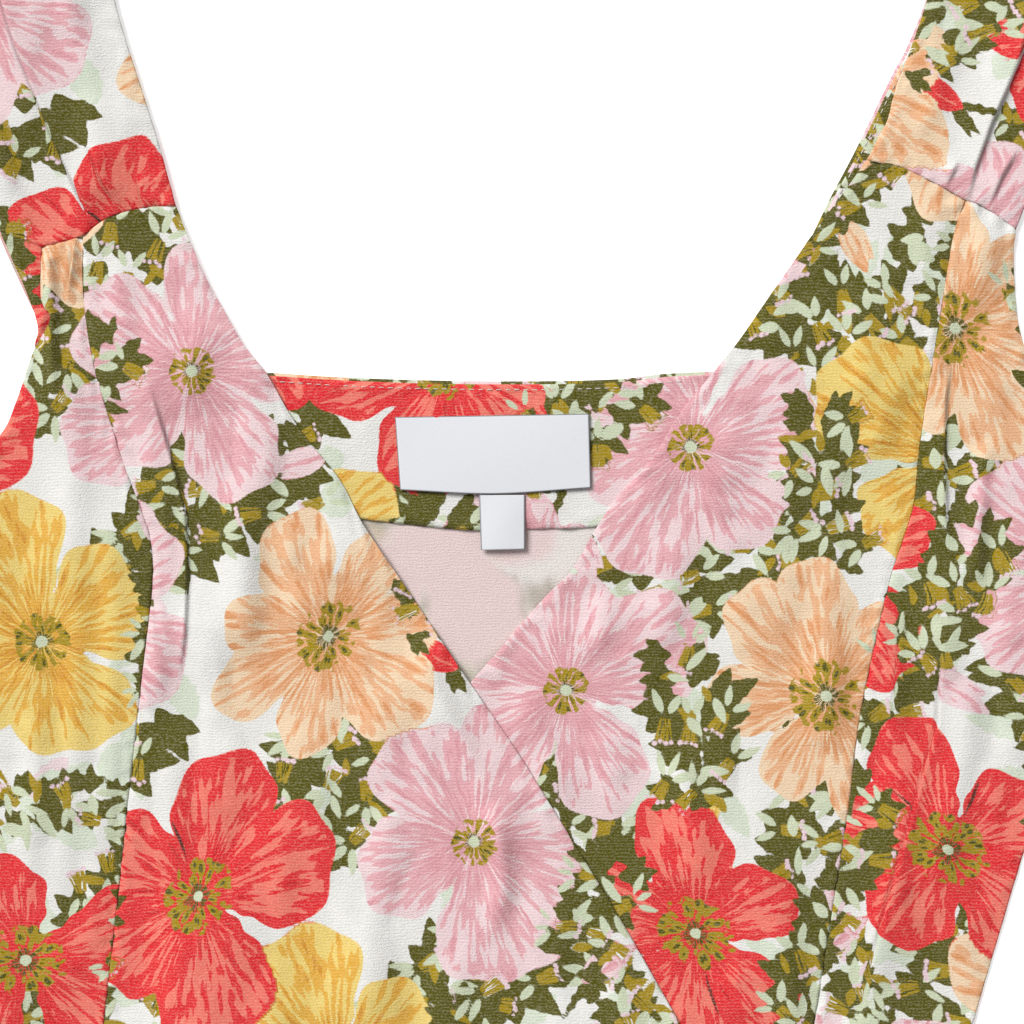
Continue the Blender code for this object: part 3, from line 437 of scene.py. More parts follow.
def crease_form(crease, points):
    """How far a crease lifts each point, how far it moves the print, and how much painted shade darkens the
    colour at its foot.

    A ridge is a bell curve of the distance from its line. A pleat rises within PLEAT_RAMP of
    the line and falls as a parabola over its reach.
    """
    off, along, normal, length = beside(np.array(crease.line, float), points)
    rise = ease(along / crease.fade_in) if crease.fade_in else 1.0
    fall = ease((length - along) / crease.fade_out) if crease.fade_out else 1.0
    if crease.kind == "ridge":
        lift = crease.height * np.exp(-((off / crease.reach) ** 2)) * rise * fall
        return lift, 0.0 * normal, 0.0 * off
    up = ease(off / PLEAT_RAMP + 0.5)
    shape = up * np.clip(1 - (off - PLEAT_RAMP / 2) / crease.reach, 0, 1) ** 2
    swallowed = crease.tuck * up * np.exp(-np.maximum(off, 0) / TUCK_FADE) * rise * fall
    # The painted shade at the foot of a pleat, from 0 to 1.
    foot = np.exp(-(((off - PAINTED_SHADE_AT) / PAINTED_SHADE_WIDTH) ** 2)) * rise * fall
    return crease.height * shape * rise * fall, normal * swallowed[..., None], foot


def ripples(points, seed, wave, height):
    """Slight unevenness: RIPPLES sine waves in random directions, added up."""
    rng = np.random.default_rng(seed)
    total = np.zeros(points.shape[:-1])
    lows, highs = [[0], [0], [0.7]], [[FULL_TURN], [FULL_TURN], [1.5]]
    for turn, phase, scale in zip(*rng.uniform(lows, highs, (3, RIPPLES))):
        along = points[..., 0] * np.cos(turn) + points[..., 1] * np.sin(turn)
        total += np.sin(FULL_TURN * along / (wave * scale) + phase)
    return height * np.clip(total / np.sqrt(RIPPLES), -RIPPLE_LIMIT, RIPPLE_LIMIT)


flank = crease_form(ridge(1, 7, 0, 0, (0, 0), (0, 10)), np.array([[[7.0, 5.0]]]))[0]
print("a ridge", RIDGE_GAIN, "mm high is still", round(float(flank[0, 0]), 2), "mm high at its reach")

# %% [markdown]
# ## Layers
# Cloth that lies on other cloth is lifted by it and comes down gently beside its edge. The
# distance to the outline of what lies below gives that lift. It changes slowly, so it is
# measured on every sixth point of a grid and spread between them.

# %% Layers
LAP_FLAT = 15.0
LAP_SLOPE = 14.0
EVERY = 6
LOOP_POINTS = 160
TINY = 1e-9


def every_sixth(count):
    """The numbers 0, 6, 12 and so on below count, and the last one."""
    return np.unique(np.append(np.arange(0, count, EVERY), count - 1))


def lap(grid, outline):
    """1 over the outline and LAP_FLAT beside it, easing to 0 over LAP_SLOPE more."""
    rows, columns = every_sixth(grid.shape[0]), every_sixth(grid.shape[1])
    p = grid[np.ix_(rows, columns)]
    loop = spaced(np.vstack([outline, outline[:1]]), LOOP_POINTS)
    away = np.full(p.shape[:-1], np.inf)
    crossings = np.zeros(p.shape[:-1], int)
    for a, b in zip(loop, loop[1:]):
        step = b - a
        t = np.clip((p - a) @ step / max(step @ step, TINY), 0, 1)
        away = np.minimum(away, np.hypot(*np.moveaxis(p - a - t[..., None] * step, -1, 0)))
        level = (a[1] > p[..., 1]) != (b[1] > p[..., 1])
        hit = p[..., 0] < a[0] + (p[..., 1] - a[1]) * step[0] / (step[1] if step[1] else TINY)
        crossings += level & hit
    near = 1 - ease((np.where(crossings % 2 == 1, 0.0, away) - LAP_FLAT) / LAP_SLOPE)
    all_rows, all_columns = np.arange(grid.shape[0]), np.arange(grid.shape[1])
    tall = np.array([np.interp(all_rows, rows, column) for column in near.T])
    return np.array([np.interp(all_columns, columns, row) for row in tall.T])


def from_edges(grid):
    """Distance of each grid point from the left, right, top and bottom edge, along the grid."""
    across = np.hypot(*np.moveaxis(np.diff(grid, axis=1), -1, 0))
    down = np.hypot(*np.moveaxis(np.diff(grid, axis=0), -1, 0))
    left = np.pad(np.cumsum(across, axis=1), ((0, 0), (1, 0)))
    top = np.pad(np.cumsum(down, axis=0), ((1, 0), (0, 0)))
    return left, left[:, -1:] - left, top, top[-1:] - top


print("a layer lifts the next by", LAYER, "mm and ends in a slope of", LAP_SLOPE, "mm")

# %% [markdown]
# ## The print
# The cloth is printed with large painted flowers, about 95 mm across, in coral, pink, peach
# and yellow, with dark olive leaves, small mint leaves and tiny blossoms between them. A
# print repeats, so one repeat is worked out and every piece of the dress reads it at its own
# place, as if it were cut from the same bolt. No picture is needed. Each motif is a formula
# for how deep a point lies inside it, in millimetres, and below 0 outside. Depths change
# evenly, so they can be held on a coarse grid and still give a sharp edge where they pass 0.

# %% One repeat of the print
REPEAT = 480.0
PITCH = 0.5
CELLS = int(REPEAT / PITCH)
FAR = 4.0
LAYERS = ("olive", "mint", "mustard", "lilac", "smudge", "blush", "bloom", "bell", "line", "over")
PLACES = ("x", "y", "seed", "pink", "peach", "yellow")
sheet = {name: np.full((CELLS, CELLS), -FAR, np.float32) for name in LAYERS}
sheet.update({name: np.zeros((CELLS, CELLS), np.float32) for name in (*PLACES, "edge")})
print("one repeat is", CELLS, "by", CELLS, "cells of", PITCH, "mm")

# %% Stamps and leaves
def window(x, y, reach):
    """The cells around (x, y), which wrap at the repeat, and how far each lies from there."""
    count = int(2 * reach / PITCH) + 2
    ix = int((x - reach) // PITCH) + np.arange(count)
    iy = int((y - reach) // PITCH) + np.arange(count)
    return np.ix_(iy % CELLS, ix % CELLS), ix[None, :] * PITCH - x, iy[:, None] * PITCH - y


def turned(dx, dy, angle):
    """Distances along and across a direction."""
    return dx * np.cos(angle) + dy * np.sin(angle), dy * np.cos(angle) - dx * np.sin(angle)


def stamp(layer, cells, depth):
    """A motif joins a layer: the deeper of the two depths holds."""
    sheet[layer][cells] = np.maximum(sheet[layer][cells], np.clip(depth, -FAR, FAR))


def leaf_depth(along, across, length, width, lobes=0.0, phase=0.0):
    """Depth inside a leaf: a half width that grows and shrinks as a sine, less the distance off its rib."""
    t = np.clip(along / length, 0, 1)
    half = width / 2 * np.sin(np.pi * t ** 0.8) ** 0.85
    half = half + lobes * np.sin(along * 1.5 + phase + np.sign(across)) * np.sin(np.pi * t)
    beyond = along - np.clip(along, 0, length)
    return np.where(beyond == 0, half - np.abs(across), -np.hypot(beyond, across))


def leaf(layer, x, y, angle, length, width, lobes=0.0, phase=0.0):
    """Stamps a leaf whose foot is at (x, y)."""
    cells, dx, dy = window(x, y, length + FAR)
    along, across = turned(dx, dy, angle)
    stamp(layer, cells, leaf_depth(along, across, length, width, lobes, phase))


sample = leaf_depth(np.arange(21.0), np.zeros(21), 20.0, 8.0)
print("a leaf 20 mm long and 8 mm wide is at most", round(sample.max(), 2), "mm deep")

# %% [markdown]
# A flower is four to seven broad petals that overlap. The petals are stamped in a random
# order, and each point keeps its distance from the nearest petal edge that shows, because
# the painter's strokes start there. It also keeps its place from the flower's heart, so that
# the strokes can run outwards, and which of the four colours the flower has.

# %% Flowers and buds
KINDS = {"coral": (0, 0, 0), "pink": (1, 0, 0), "peach": (0, 1, 0), "yellow": (0, 0, 1)}
PETALS = {"coral": (5, 1.0), "pink": (5, 1.06), "peach": (7, 0.74), "yellow": (4, 1.25)}
RIM_REACH = 12.0
HALO = 2.5
SEEDS = 9
LINE_FROM, LINE_LENGTH = 13, 26
BUD_HEART = 24


def petal_depth(along, across, reach, full, rng):
    """Depth inside a petal: a rounded box, narrow at the heart, with a wavy rim."""
    half = reach * (0.16 + 0.27 * ease(along / reach / 0.75)) * full * rng.uniform(0.9, 1.12)
    far = np.abs(along / reach - 0.52) / 0.5
    box = (far ** 2.4 + np.abs(across / half) ** 2.4) ** (1 / 2.4)
    lean = np.arctan2(across, along - 0.4 * reach)
    first, second = rng.uniform(0, FULL_TURN, 2)
    wave = 0.026 * reach * (np.sin(3 * lean + first) + 0.7 * np.sin(9 * lean + second))
    return (1 - box) * 0.42 * reach + wave


def claim(cells, mine, dx, dy, seed, kind=None):
    """The points that a motif covers take its place and, if it has one, its colour."""
    for name, value in zip(PLACES, (dx, dy, seed, *KINDS.get(kind, ()))):
        sheet[name][cells] = np.where(mine, value, sheet[name][cells])


def flower(x, y, radius, kind, seed):
    """Petals round a heart, seen a little from the side, so that the whole is squashed one way."""
    rng = np.random.default_rng(seed)
    petals, full = PETALS[kind]
    cells, dx, dy = window(x, y, 1.35 * radius)
    tilt = rng.uniform(0, FULL_TURN)
    a, b = turned(dx, dy, tilt)
    dx, dy = turned(a, b / rng.uniform(0.8, 1.0), -tilt)
    older = sheet["bloom"][cells].copy()
    rim = np.where(older > 0, sheet["edge"][cells], RIM_REACH)
    whole = 0.25 * radius - np.hypot(dx, dy)
    start = rng.uniform(0, FULL_TURN)
    for k in rng.permutation(petals):
        angle = start + 2 * np.pi * (k + rng.uniform(-0.17, 0.17)) / petals
        along, across = turned(dx, dy, angle)
        depth = petal_depth(along, across, radius * rng.uniform(0.86, 1.14), full, rng)
        rim = np.where(depth > 0, depth, np.minimum(rim, -depth))
        whole = np.maximum(whole, depth)
    sheet["edge"][cells] = np.clip(rim, 0, RIM_REACH)
    claim(cells, (whole > 0) | ((whole > -HALO) & (older < 0)), dx, dy, seed % SEEDS, kind)
    stamp("bloom", cells, whole)
    sheet["line"][cells] = np.where(whole > 0.5, -FAR, sheet["line"][cells])
    for k in rng.choice(petals, 2, replace=False) if kind == "coral" else ():
        along, across = turned(dx, dy, start + 2 * np.pi * (k + 0.5) / petals)
        bent = across - 0.006 * (along - 20) ** 2
        t = (along - LINE_FROM) / LINE_LENGTH
        stroke = 0.75 * np.sin(np.pi * np.clip(t, 0, 1)) - 0.1 - np.abs(bent)
        stamp("line", cells, np.where((t > 0) & (t < 1), np.minimum(stroke, whole - 0.6), -FAR))


def bud(x, y, angle, length, width, kind, seed):
    """A closed flower: two long petals on a dark stalk with narrow leaves at its foot."""
    for turn, share in ((0.16, 0.85), (-0.08, 1.0)):
        cells, dx, dy = window(x, y, length + 6)
        along, across = turned(dx, dy, angle + turn)
        depth = leaf_depth(along, across, length * share, width * share)
        older = sheet["bloom"][cells].copy()
        stamp("bloom", cells, depth)
        sheet["edge"][cells] = np.where(depth > 0, depth, sheet["edge"][cells])
        mine = (depth > 0) | ((depth > -HALO) & (older < 0))
        claim(cells, mine, along + BUD_HEART, across + 0 * along, seed % SEEDS, kind)
    for turn, reach, wide in ((np.pi + 0.3, 0.8, 0.3), (np.pi - 0.5, 0.5, 0.42), (2.3, 0.45, 0.4)):
        leaf("olive", x + 4 * np.cos(angle), y + 4 * np.sin(angle), angle + turn, length * reach,
             length * wide * 0.4, 0.4)


print("petals of each kind:", {kind: petals for kind, (petals, full) in PETALS.items()})

# %% [markdown]
# Between the flowers stand clusters of foliage. A cluster is a mass of dark lobed leaves along
# a bent stem. On it lie mint leaves in twos and threes, each over a small bell of mustard
# stripes that ends in a row of tiny blossoms, and more mint and mustard leaves. Paler leaves
# stand behind it, as if further off.

# %% Foliage
FOLIAGE = ("olive", "mint", "mustard", "lilac", "bell")
BELL_HEART = 9


def lobed(layer, x, y, angle, length, rng):
    """A lobed leaf: one long pointed leaf and two shorter ones that spread from its rib."""
    for tilt, share, start in ((0, 1.0, 0.0), (0.7, 0.66, 0.22), (-0.7, 0.66, 0.22)):
        reach = length * share * rng.uniform(0.85, 1.12)
        px = x + start * length * np.cos(angle)
        py = y + start * length * np.sin(angle)
        leaf(layer, px, py, angle + tilt + rng.uniform(-0.12, 0.12), reach, length * 0.42 * share ** 0.5,
             0.3, rng.uniform(0, 6))


def bell(x, y, angle, rng):
    """A striped bell with a row of blossoms at its mouth and two or three mint leaves at its top."""
    cells, dx, dy = window(x, y, 14)
    along, across = turned(dx, dy, angle)
    length = rng.uniform(6.5, 8.5)
    depth = np.minimum(2.0 + 0.17 * along - np.abs(across), np.minimum(along + 0.5, length - along))
    stamp("bell", cells, depth)
    claim(cells, depth > -1, along + BELL_HEART + 0 * across, across + 0 * along, rng.uniform(0, SEEDS))
    for off in (-3.1, -1.0, 1.1, 3.0):
        reach = length + rng.uniform(-0.3, 1.4)
        stamp("lilac", cells, rng.uniform(0.7, 1.1) - np.hypot(along - reach, across - off))
    for tilt in ((-0.5, 0.45), (-0.75, 0.0, 0.7))[int(rng.integers(2))]:
        turn = angle + np.pi + tilt + rng.uniform(-0.15, 0.15)
        leaf("mint", x + 2.6 * np.cos(turn), y + 2.6 * np.sin(turn), turn, rng.uniform(7.0, 10.5),
             rng.uniform(2.5, 3.6))


def lift_off(layers):
    """Takes what the layers hold away, so that the next motifs can be laid over all of it."""
    held = {name: sheet[name].copy() for name in layers}
    for name in layers:
        sheet[name][:] = -FAR
    return held


def lay_over(layers, held):
    """What was stamped since lift_off hides what was below it, flowers too, by way of "over"."""
    cover = np.maximum.reduce([sheet[name] for name in layers])
    sheet["over"][:] = cover - 0.45
    for name in layers:
        sheet[name][:] = np.maximum(sheet[name], np.minimum(held[name], -cover))


def foliage(x, y, angle, length, width, seed):
    """A cluster: pale leaves, then dark ones along the stem, loose leaves, and bells in rows of three."""
    rng = np.random.default_rng(seed)
    bend = rng.uniform(-0.5, 0.5)

    def spot(t, s):
        """A place at t along the stem and s across it, each from -0.5 to 0.5."""
        a, b = length * t, width * s + bend * length * t * t
        return x + a * np.cos(angle) - b * np.sin(angle), y + a * np.sin(angle) + b * np.cos(angle)

    for k in range(7):
        leaf("smudge", *spot(rng.uniform(-0.62, 0.62), rng.uniform(-0.75, 0.75)), rng.uniform(0, FULL_TURN),
             rng.uniform(13, 24), rng.uniform(7, 11), 0.5, rng.uniform(0, 6))
    count = int(length / 4.0)
    for k in range(count):
        t = k / (count - 1) - 0.5
        side = 1 if k % 2 else -1
        out = angle + side * rng.uniform(0.5, 1.5)
        lobed("olive", *spot(t, side * rng.uniform(-0.05, 0.12)), out, width * (1.0 - 1.3 * t * t)
              * rng.uniform(0.5, 0.72), rng)
    for layer, number, t_most, s_most, lengths, widths in (
        ("mustard", 6, 0.45, 0.38, (7, 12), (2.6, 4.2)), ("mint", 5, 0.4, 0.3, (8, 13), (2.8, 4.6)),
    ):
        for k in range(number):
            leaf(layer, *spot(rng.uniform(-t_most, t_most), rng.uniform(-s_most, s_most)),
                 rng.uniform(0, FULL_TURN), rng.uniform(*lengths), rng.uniform(*widths))
    turn = rng.uniform(0, FULL_TURN)
    for k in range(int(length * width / 260)):
        row, column = divmod(k, 3)
        t = (row + 0.5 + rng.uniform(-0.25, 0.25)) / (length * width / 780) - 0.5
        place = spot(0.95 * t, (column - 1) * 0.32 + rng.uniform(-0.06, 0.06))
        bell(*place, turn + rng.uniform(-0.5, 0.5), rng)


print("a cluster has the layers", FOLIAGE)

# %% [markdown]
# The layout is three tables: a flower about every 96 mm, never in a straight row, foliage in
# the gaps and a few buds. The flowers are stamped after them, because they lie over the
# leaves. A few last sprigs then lie over the flowers, between two neighbours in a row.

# %% Layout of the repeat
FULLNESS = 1.1
SCATTERED = 70
Bloom = namedtuple("Bloom", "x y radius kind")
BLOOMS = [Bloom(*row) for row in (
    (40, 52, 47, "coral"), (142, 30, 43, "pink"), (236, 62, 45, "yellow"), (334, 34, 46, "pink"),
    (428, 70, 45, "peach"), (88, 140, 44, "peach"), (184, 128, 48, "coral"), (286, 148, 43, "pink"),
    (380, 134, 48, "coral"), (474, 158, 42, "pink"), (36, 236, 45, "yellow"), (132, 232, 46, "pink"),
    (232, 224, 45, "peach"), (330, 240, 46, "coral"), (426, 238, 43, "pink"), (84, 326, 48, "coral"),
    (182, 322, 43, "pink"), (282, 330, 44, "pink"), (378, 328, 45, "peach"), (472, 330, 45, "coral"),
    (34, 420, 44, "pink"), (134, 418, 46, "peach"), (230, 424, 48, "coral"), (328, 420, 44, "pink"),
    (424, 416, 45, "yellow"),
)]
Sprig = namedtuple("Sprig", "x y turn length width")
SPRIGS = [Sprig(*row) for row in (
    (92, 88, 40, 84, 46), (190, 78, 115, 70, 42), (284, 98, 30, 80, 44), (384, 84, 100, 76, 44),
    (470, 108, 60, 70, 40), (34, 144, 95, 74, 44), (136, 182, 20, 80, 42), (234, 176, 75, 76, 46),
    (334, 192, 10, 78, 42), (428, 190, 120, 80, 44), (84, 236, 100, 70, 42), (182, 274, 30, 80, 44),
    (282, 276, 140, 80, 44), (378, 282, 70, 74, 44), (478, 282, 20, 82, 44), (36, 330, 80, 70, 40),
    (132, 370, 150, 80, 46), (232, 374, 60, 74, 44), (330, 372, 20, 84, 44), (426, 372, 95, 70, 42),
    (82, 462, 30, 80, 44), (184, 456, 110, 76, 44), (280, 462, 60, 78, 44), (378, 466, 140, 80, 44),
    (472, 456, 75, 70, 40), (413, 3, 60, 46, 28), (184, 393, 20, 46, 28), (140, 80, 90, 38, 26),
    (344, 84, 120, 38, 26), (36, 0, 30, 40, 26), (234, 2, 5, 58, 24), (8, 384, 80, 38, 24),
    (272, 385, 140, 38, 24), (438, 470, 100, 38, 24),
)]
Bud = namedtuple("Bud", "x y turn length width kind")
BUDS = [Bud(*row) for row in (
    (96, 8, 70, 27, 10, "pink"), (190, 8, 250, 24, 9, "pink"), (288, 12, 120, 26, 10, "pink"),
    (384, 24, 300, 22, 9, "peach"), (2, 100, 200, 28, 10, "pink"), (326, 96, 40, 25, 9, "pink"),
    (424, 132, 80, 26, 10, "pink"), (40, 188, 20, 25, 9, "pink"), (280, 212, 150, 26, 9, "coral"),
    (376, 200, 330, 27, 10, "pink"), (134, 288, 60, 26, 10, "pink"), (232, 292, 200, 24, 9, "pink"),
    (336, 300, 260, 26, 9, "yellow"), (34, 374, 100, 27, 10, "pink"), (186, 372, 10, 24, 9, "pink"),
    (282, 392, 300, 26, 10, "pink"), (470, 404, 140, 26, 9, "peach"), (374, 412, 220, 25, 9, "pink"),
)]
print(len(BLOOMS), "flowers,", len(SPRIGS), "sprigs and", len(BUDS), "buds in the tables")

# %% Stamp the repeat
rng = np.random.default_rng(11)
lows, highs = [[0]] * 4, [[REPEAT], [REPEAT], [FULL_TURN], [1]]
for x, y, turn, tint in zip(*rng.uniform(lows, highs, (4, SCATTERED))):
    leaf("smudge" if tint > 0.4 else "blush", x, y, turn, 18 + 16 * tint, 7 + 5 * tint, 0.5, 6 * tint)
for number, sprig in enumerate(SPRIGS):
    foliage(sprig.x, sprig.y, np.radians(sprig.turn), sprig.length, sprig.width, 100 + number)
for number, plan in enumerate(BUDS):
    bud(plan.x, plan.y, np.radians(plan.turn), plan.length, plan.width, plan.kind, number)
for number, bloom in enumerate(BLOOMS):
    flower(bloom.x, bloom.y, FULLNESS * bloom.radius, bloom.kind, 7 + 3 * number)
earlier = lift_off(FOLIAGE)
for number, (a, b) in enumerate(zip(BLOOMS, BLOOMS[1:])):
    if b.x > a.x and number % 5 != 1:
        foliage((a.x + b.x) / 2, (a.y + b.y) / 2 + 14 * (-1) ** number, 1.2 + 0.5 * (number % 3 - 1), 58, 34,
                300 + number)
lay_over(FOLIAGE, earlier)
print("flowers cover", round(100 * float((sheet["bloom"] > 0).mean())), "percent of the repeat")

# %% [markdown]
# ## Writing a piece of cloth
# A finished grid becomes a mesh whose points carry the print's depths as attributes. The
# wall is added by a Solidify modifier. Pieces that lie on others only need its rim, and the
# back of the bodice, whose two sides both show, gets the whole wall.

# %% Mesh writer
PRINT_SETS = {
    "print_leaf": ("olive", "mint", "mustard"),
    "print_small": ("lilac", "smudge", "blush"),
    "print_bloom": ("bloom", "edge", "bell"),
    "print_place": ("x", "y", "seed"),
    "print_kind": ("pink", "peach", "yellow"),
    "print_over": ("line", "over", "over"),
}


def read_sheet(name, at):
    """The sheet at each place. Depths are blended from the four cells around it, places are not."""
    cell = at / PITCH
    if name not in LAYERS:
        x, y = np.moveaxis(np.rint(cell).astype(int) % CELLS, -1, 0)
        return sheet[name][y, x]
    low = np.floor(cell).astype(int)
    fx, fy = np.moveaxis(cell - low, -1, 0)
    x0, y0 = np.moveaxis(low % CELLS, -1, 0)
    x1, y1 = (x0 + 1) % CELLS, (y0 + 1) % CELLS
    field = sheet[name]
    near = field[y0, x0] * (1 - fx) + field[y0, x1] * fx
    return near * (1 - fy) + (field[y1, x0] * (1 - fx) + field[y1, x1] * fx) * fy


def new_piece(name, points, faces, material, at=None):
    """A smooth mesh from points in millimetres. at is where each point lies on the print."""
    mesh = bpy.data.meshes.new(name)
    mesh.from_pydata((points * MM).tolist(), [], faces)
    for attribute, names in PRINT_SETS.items() if at is not None else ():
        values = np.column_stack([read_sheet(layer, at) for layer in names]).astype(np.float32)
        mesh.attributes.new(attribute, "FLOAT_VECTOR", "POINT").data.foreach_set("vector", values.ravel())
    mesh.materials.append(material)
    mesh.shade_smooth()
    piece = bpy.data.objects.new(name, mesh)
    bpy.context.scene.collection.objects.link(piece)
    return piece


def quads(rows, columns, first):
    """Corner numbers of a grid's faces, wound to face up."""
    n = first + np.arange(rows * columns).reshape(rows, columns)
    return np.stack([n[:-1, :-1], n[1:, :-1], n[1:, 1:], n[:-1, 1:]], -1).reshape(-1, 4)


def tube_quads(rings, around):
    """Corner numbers of the faces between rings of points, each ring closed on itself."""
    n = np.arange(rings * around).reshape(rings, around)
    following = np.roll(n, -1, 1)
    return np.stack([n[:-1], following[:-1], following[1:], n[1:]], -1).reshape(-1, 4)


def cloth_object(name, grids, heights, prints, material, wall, rim_only=True, face_down=False):
    """One piece from grids of places, heights and print places, with its wall."""
    points, uvs, faces, first = [], [], [], 0
    for grid, height in zip(grids, heights):
        rows, columns = height.shape
        points.append(np.dstack([grid + SHIFT, height]).reshape(-1, 3))
        u, v = np.meshgrid(np.linspace(0, 1, columns), np.linspace(1, 0, rows))
        uvs.append(np.dstack([u, v]).reshape(-1, 2))
        faces.append(quads(rows, columns, first))
        first += rows * columns
    uvs, faces = np.vstack(uvs), np.vstack(faces)
    if face_down:
        faces = faces[:, ::-1]
    at = None if prints is None else np.vstack([p.reshape(-1, 2) for p in prints])
    piece = new_piece(name, np.vstack(points), faces.tolist(), material, at)
    mesh = piece.data
    corners = np.empty(len(mesh.loops), np.int32)
    mesh.loops.foreach_get("vertex_index", corners)
    mesh.uv_layers.new(name="cloth").data.foreach_set("uv", uvs[corners].astype(np.float32).ravel())
    if wall:
        shell = piece.modifiers.new("wall", "SOLIDIFY")
        shell.thickness = wall * MM
        shell.offset = -1.0
        shell.use_rim_only = rim_only
    return piece


print("every point of the cloth carries", 3 * len(PRINT_SETS), "values of the print")

# %% [markdown]
# ## Crepe, printed
# Crepe is woven from hard twisted yarn that crinkles as it dries, which leaves fine wavy
# ribs and a dull, dry surface. In the shader the print's layers are laid over each other
# from the ground up, as a screen printer would, each where its depth passes 0. The brush
# strokes are noise that is stretched outwards from the flower's heart: near a petal's edge
# the noise passes its threshold everywhere, further in only at its peaks, so the strokes
# taper like paint.

# %% Shader helpers
LIGHT = 1.2


def ink(code):
    """Linear colour from a hex code, less the brightness of the light on it."""
    c = np.array([int(code[i:i + 2], 16) for i in (0, 2, 4)]) / 255
    c = np.where(c <= 0.04045, c / 12.92, ((c + 0.055) / 1.055) ** 2.4) / LIGHT
    return (*c.tolist(), 1.0)


class Graph:
    """Short calls that add shader nodes to a material and return their outputs."""

    def __init__(self, name):
        self.material = bpy.data.materials.new(name)
        self.material.use_nodes = True
        self.tree = self.material.node_tree
        self.shader = self.tree.nodes["Principled BSDF"]

    def add(self, kind, *values, out=0, **settings):
        """A node of a kind, its sockets filled in their order by links or numbers."""
        node = self.tree.nodes.new("ShaderNode" + kind)
        for key, value in settings.items():
            setattr(node, key, value)
        for socket, value in zip(node.inputs, values):
            if isinstance(value, bpy.types.NodeSocket):
                self.tree.links.new(value, socket)
            elif value is not None:
                socket.default_value = value
        return node.outputs[out]

    def math(self, operation, a, b=0.0, c=0.0):
        return self.add("Math", a, b, c, operation=operation)

    def sum(self, a, *others):
        """The sum of all the values."""
        for b in others:
            a = self.math("ADD", a, b)
        return a

    def product(self, a, b):
        return self.math("MULTIPLY", a, b)

    def scaled(self, a, factor, plus):
        """a times factor, plus a value."""
        return self.math("MULTIPLY_ADD", a, factor, plus)

    def vector(self, operation, a, b=(0, 0, 0)):
        return self.add("VectorMath", a, b, operation=operation)

    def stretched(self, a, factors):
        """A vector times a factor along each axis."""
        return self.vector("MULTIPLY", a, factors)

    def moved(self, a, y=0.0, z=0.0):
        """A vector with something added to its Y and its Z."""
        return self.vector("ADD", a, self.add("CombineXYZ", 0.0, y, z))

    def dot(self, a, b):
        return self.add("VectorMath", a, b, operation="DOT_PRODUCT", out=1)

    def ramp(self, value, low, high, to_low=0.0, to_high=1.0, kind="SMOOTHSTEP"):
        """to_low below low, to_high above high, and an S or a straight line between them."""
        return self.add("MapRange", value, low, high, to_low, to_high, interpolation_type=kind)

    def below(self, value, low, high):
        """1 below low, 0 above high."""
        return self.ramp(value, low, high, 1.0, 0.0)

    def line(self, value, low, high, to_low, to_high):
        return self.ramp(value, low, high, to_low, to_high, "LINEAR")

    def mix(self, share, a, b):
        return self.add("MixRGB", share, a, b)

    def noise(self, place, scale=1.0, detail=1.0):
        return self.add("TexNoise", place, None, scale, detail, 0.5)

    def object_place(self, factors):
        """The point in the piece's own coordinates, which are metres, times a factor for each axis."""
        return self.stretched(self.add("TexCoord", out=3), factors)

    def parts(self, attribute):
        """An attribute as a vector and as its three numbers."""
        vector = self.add("Attribute", attribute_name=attribute, out=1)
        node = self.add("SeparateXYZ", vector).node
        return vector, node.outputs[0], node.outputs[1], node.outputs[2]

    def end(self, colour, roughness, bump=None, strength=0.3, distance=0.2, sheen=0.0):
        """Colour, roughness and bump go to the surface shader. Distance is in millimetres."""
        if isinstance(colour, bpy.types.NodeSocket):
            self.tree.links.new(colour, self.shader.inputs["Base Color"])
        else:
            self.shader.inputs["Base Color"].default_value = colour
        self.shader.inputs["Roughness"].default_value = roughness
        self.shader.inputs["Specular IOR Level"].default_value = 0.15
        self.shader.inputs["Sheen Weight"].default_value = sheen
        if bump is not None:
            node = self.add("Bump", strength, distance * MM, None, bump).node
            self.tree.links.new(node.outputs[0], self.shader.inputs["Normal"])
        return self.material


print("white ink is", round(ink("FFFFFF")[0], 3), "under a light of", LIGHT)

# %% [markdown]
# The inks are the cloth's own colours. Each kind of flower has three: deep and dark for the
# strokes, pale between them. The score of a point adds its brush noise, how near the petal's
# edge is and how near the heart, and the strokes lie where the score is high.

# %% Inks and petals
DEEP = {"coral": "CC1E28", "pink": "DA9AA3", "peach": "DE9A67", "yellow": "D2922B"}
DARK = {"coral": "E22B32", "pink": "E3AAB1", "peach": "E8B186", "yellow": "E1AC42"}
PALE = {"coral": "EE7768", "pink": "EACFD2", "peach": "EDD0AE", "yellow": "E8CC74"}
GROUND, OLIVE, MINT, MUSTARD, LILAC = "E8E7E3", "545102", "CAD3B5", "A28806", "E6CAD2"
SMUDGE, BLUSH, STROKE_LINE, UNDYED, INSIDE = "D5DECB", "E9D3D6", "5C241B", "EBE3CE", "E3D9D3"
STROKES = 15.0
STROKE_LENGTH = 12.0
SEED_STEP = 7.3
STAMENS = 3.8
STRIPES = 18


def by_kind(g, kinds, inks):
    """A colour by the flower's kind: coral unless the pink, peach or yellow share says otherwise."""
    colour = ink(inks["coral"])
    for share, kind in zip(kinds, ("pink", "peach", "yellow")):
        colour = g.mix(share, colour, ink(inks[kind]))
    return colour


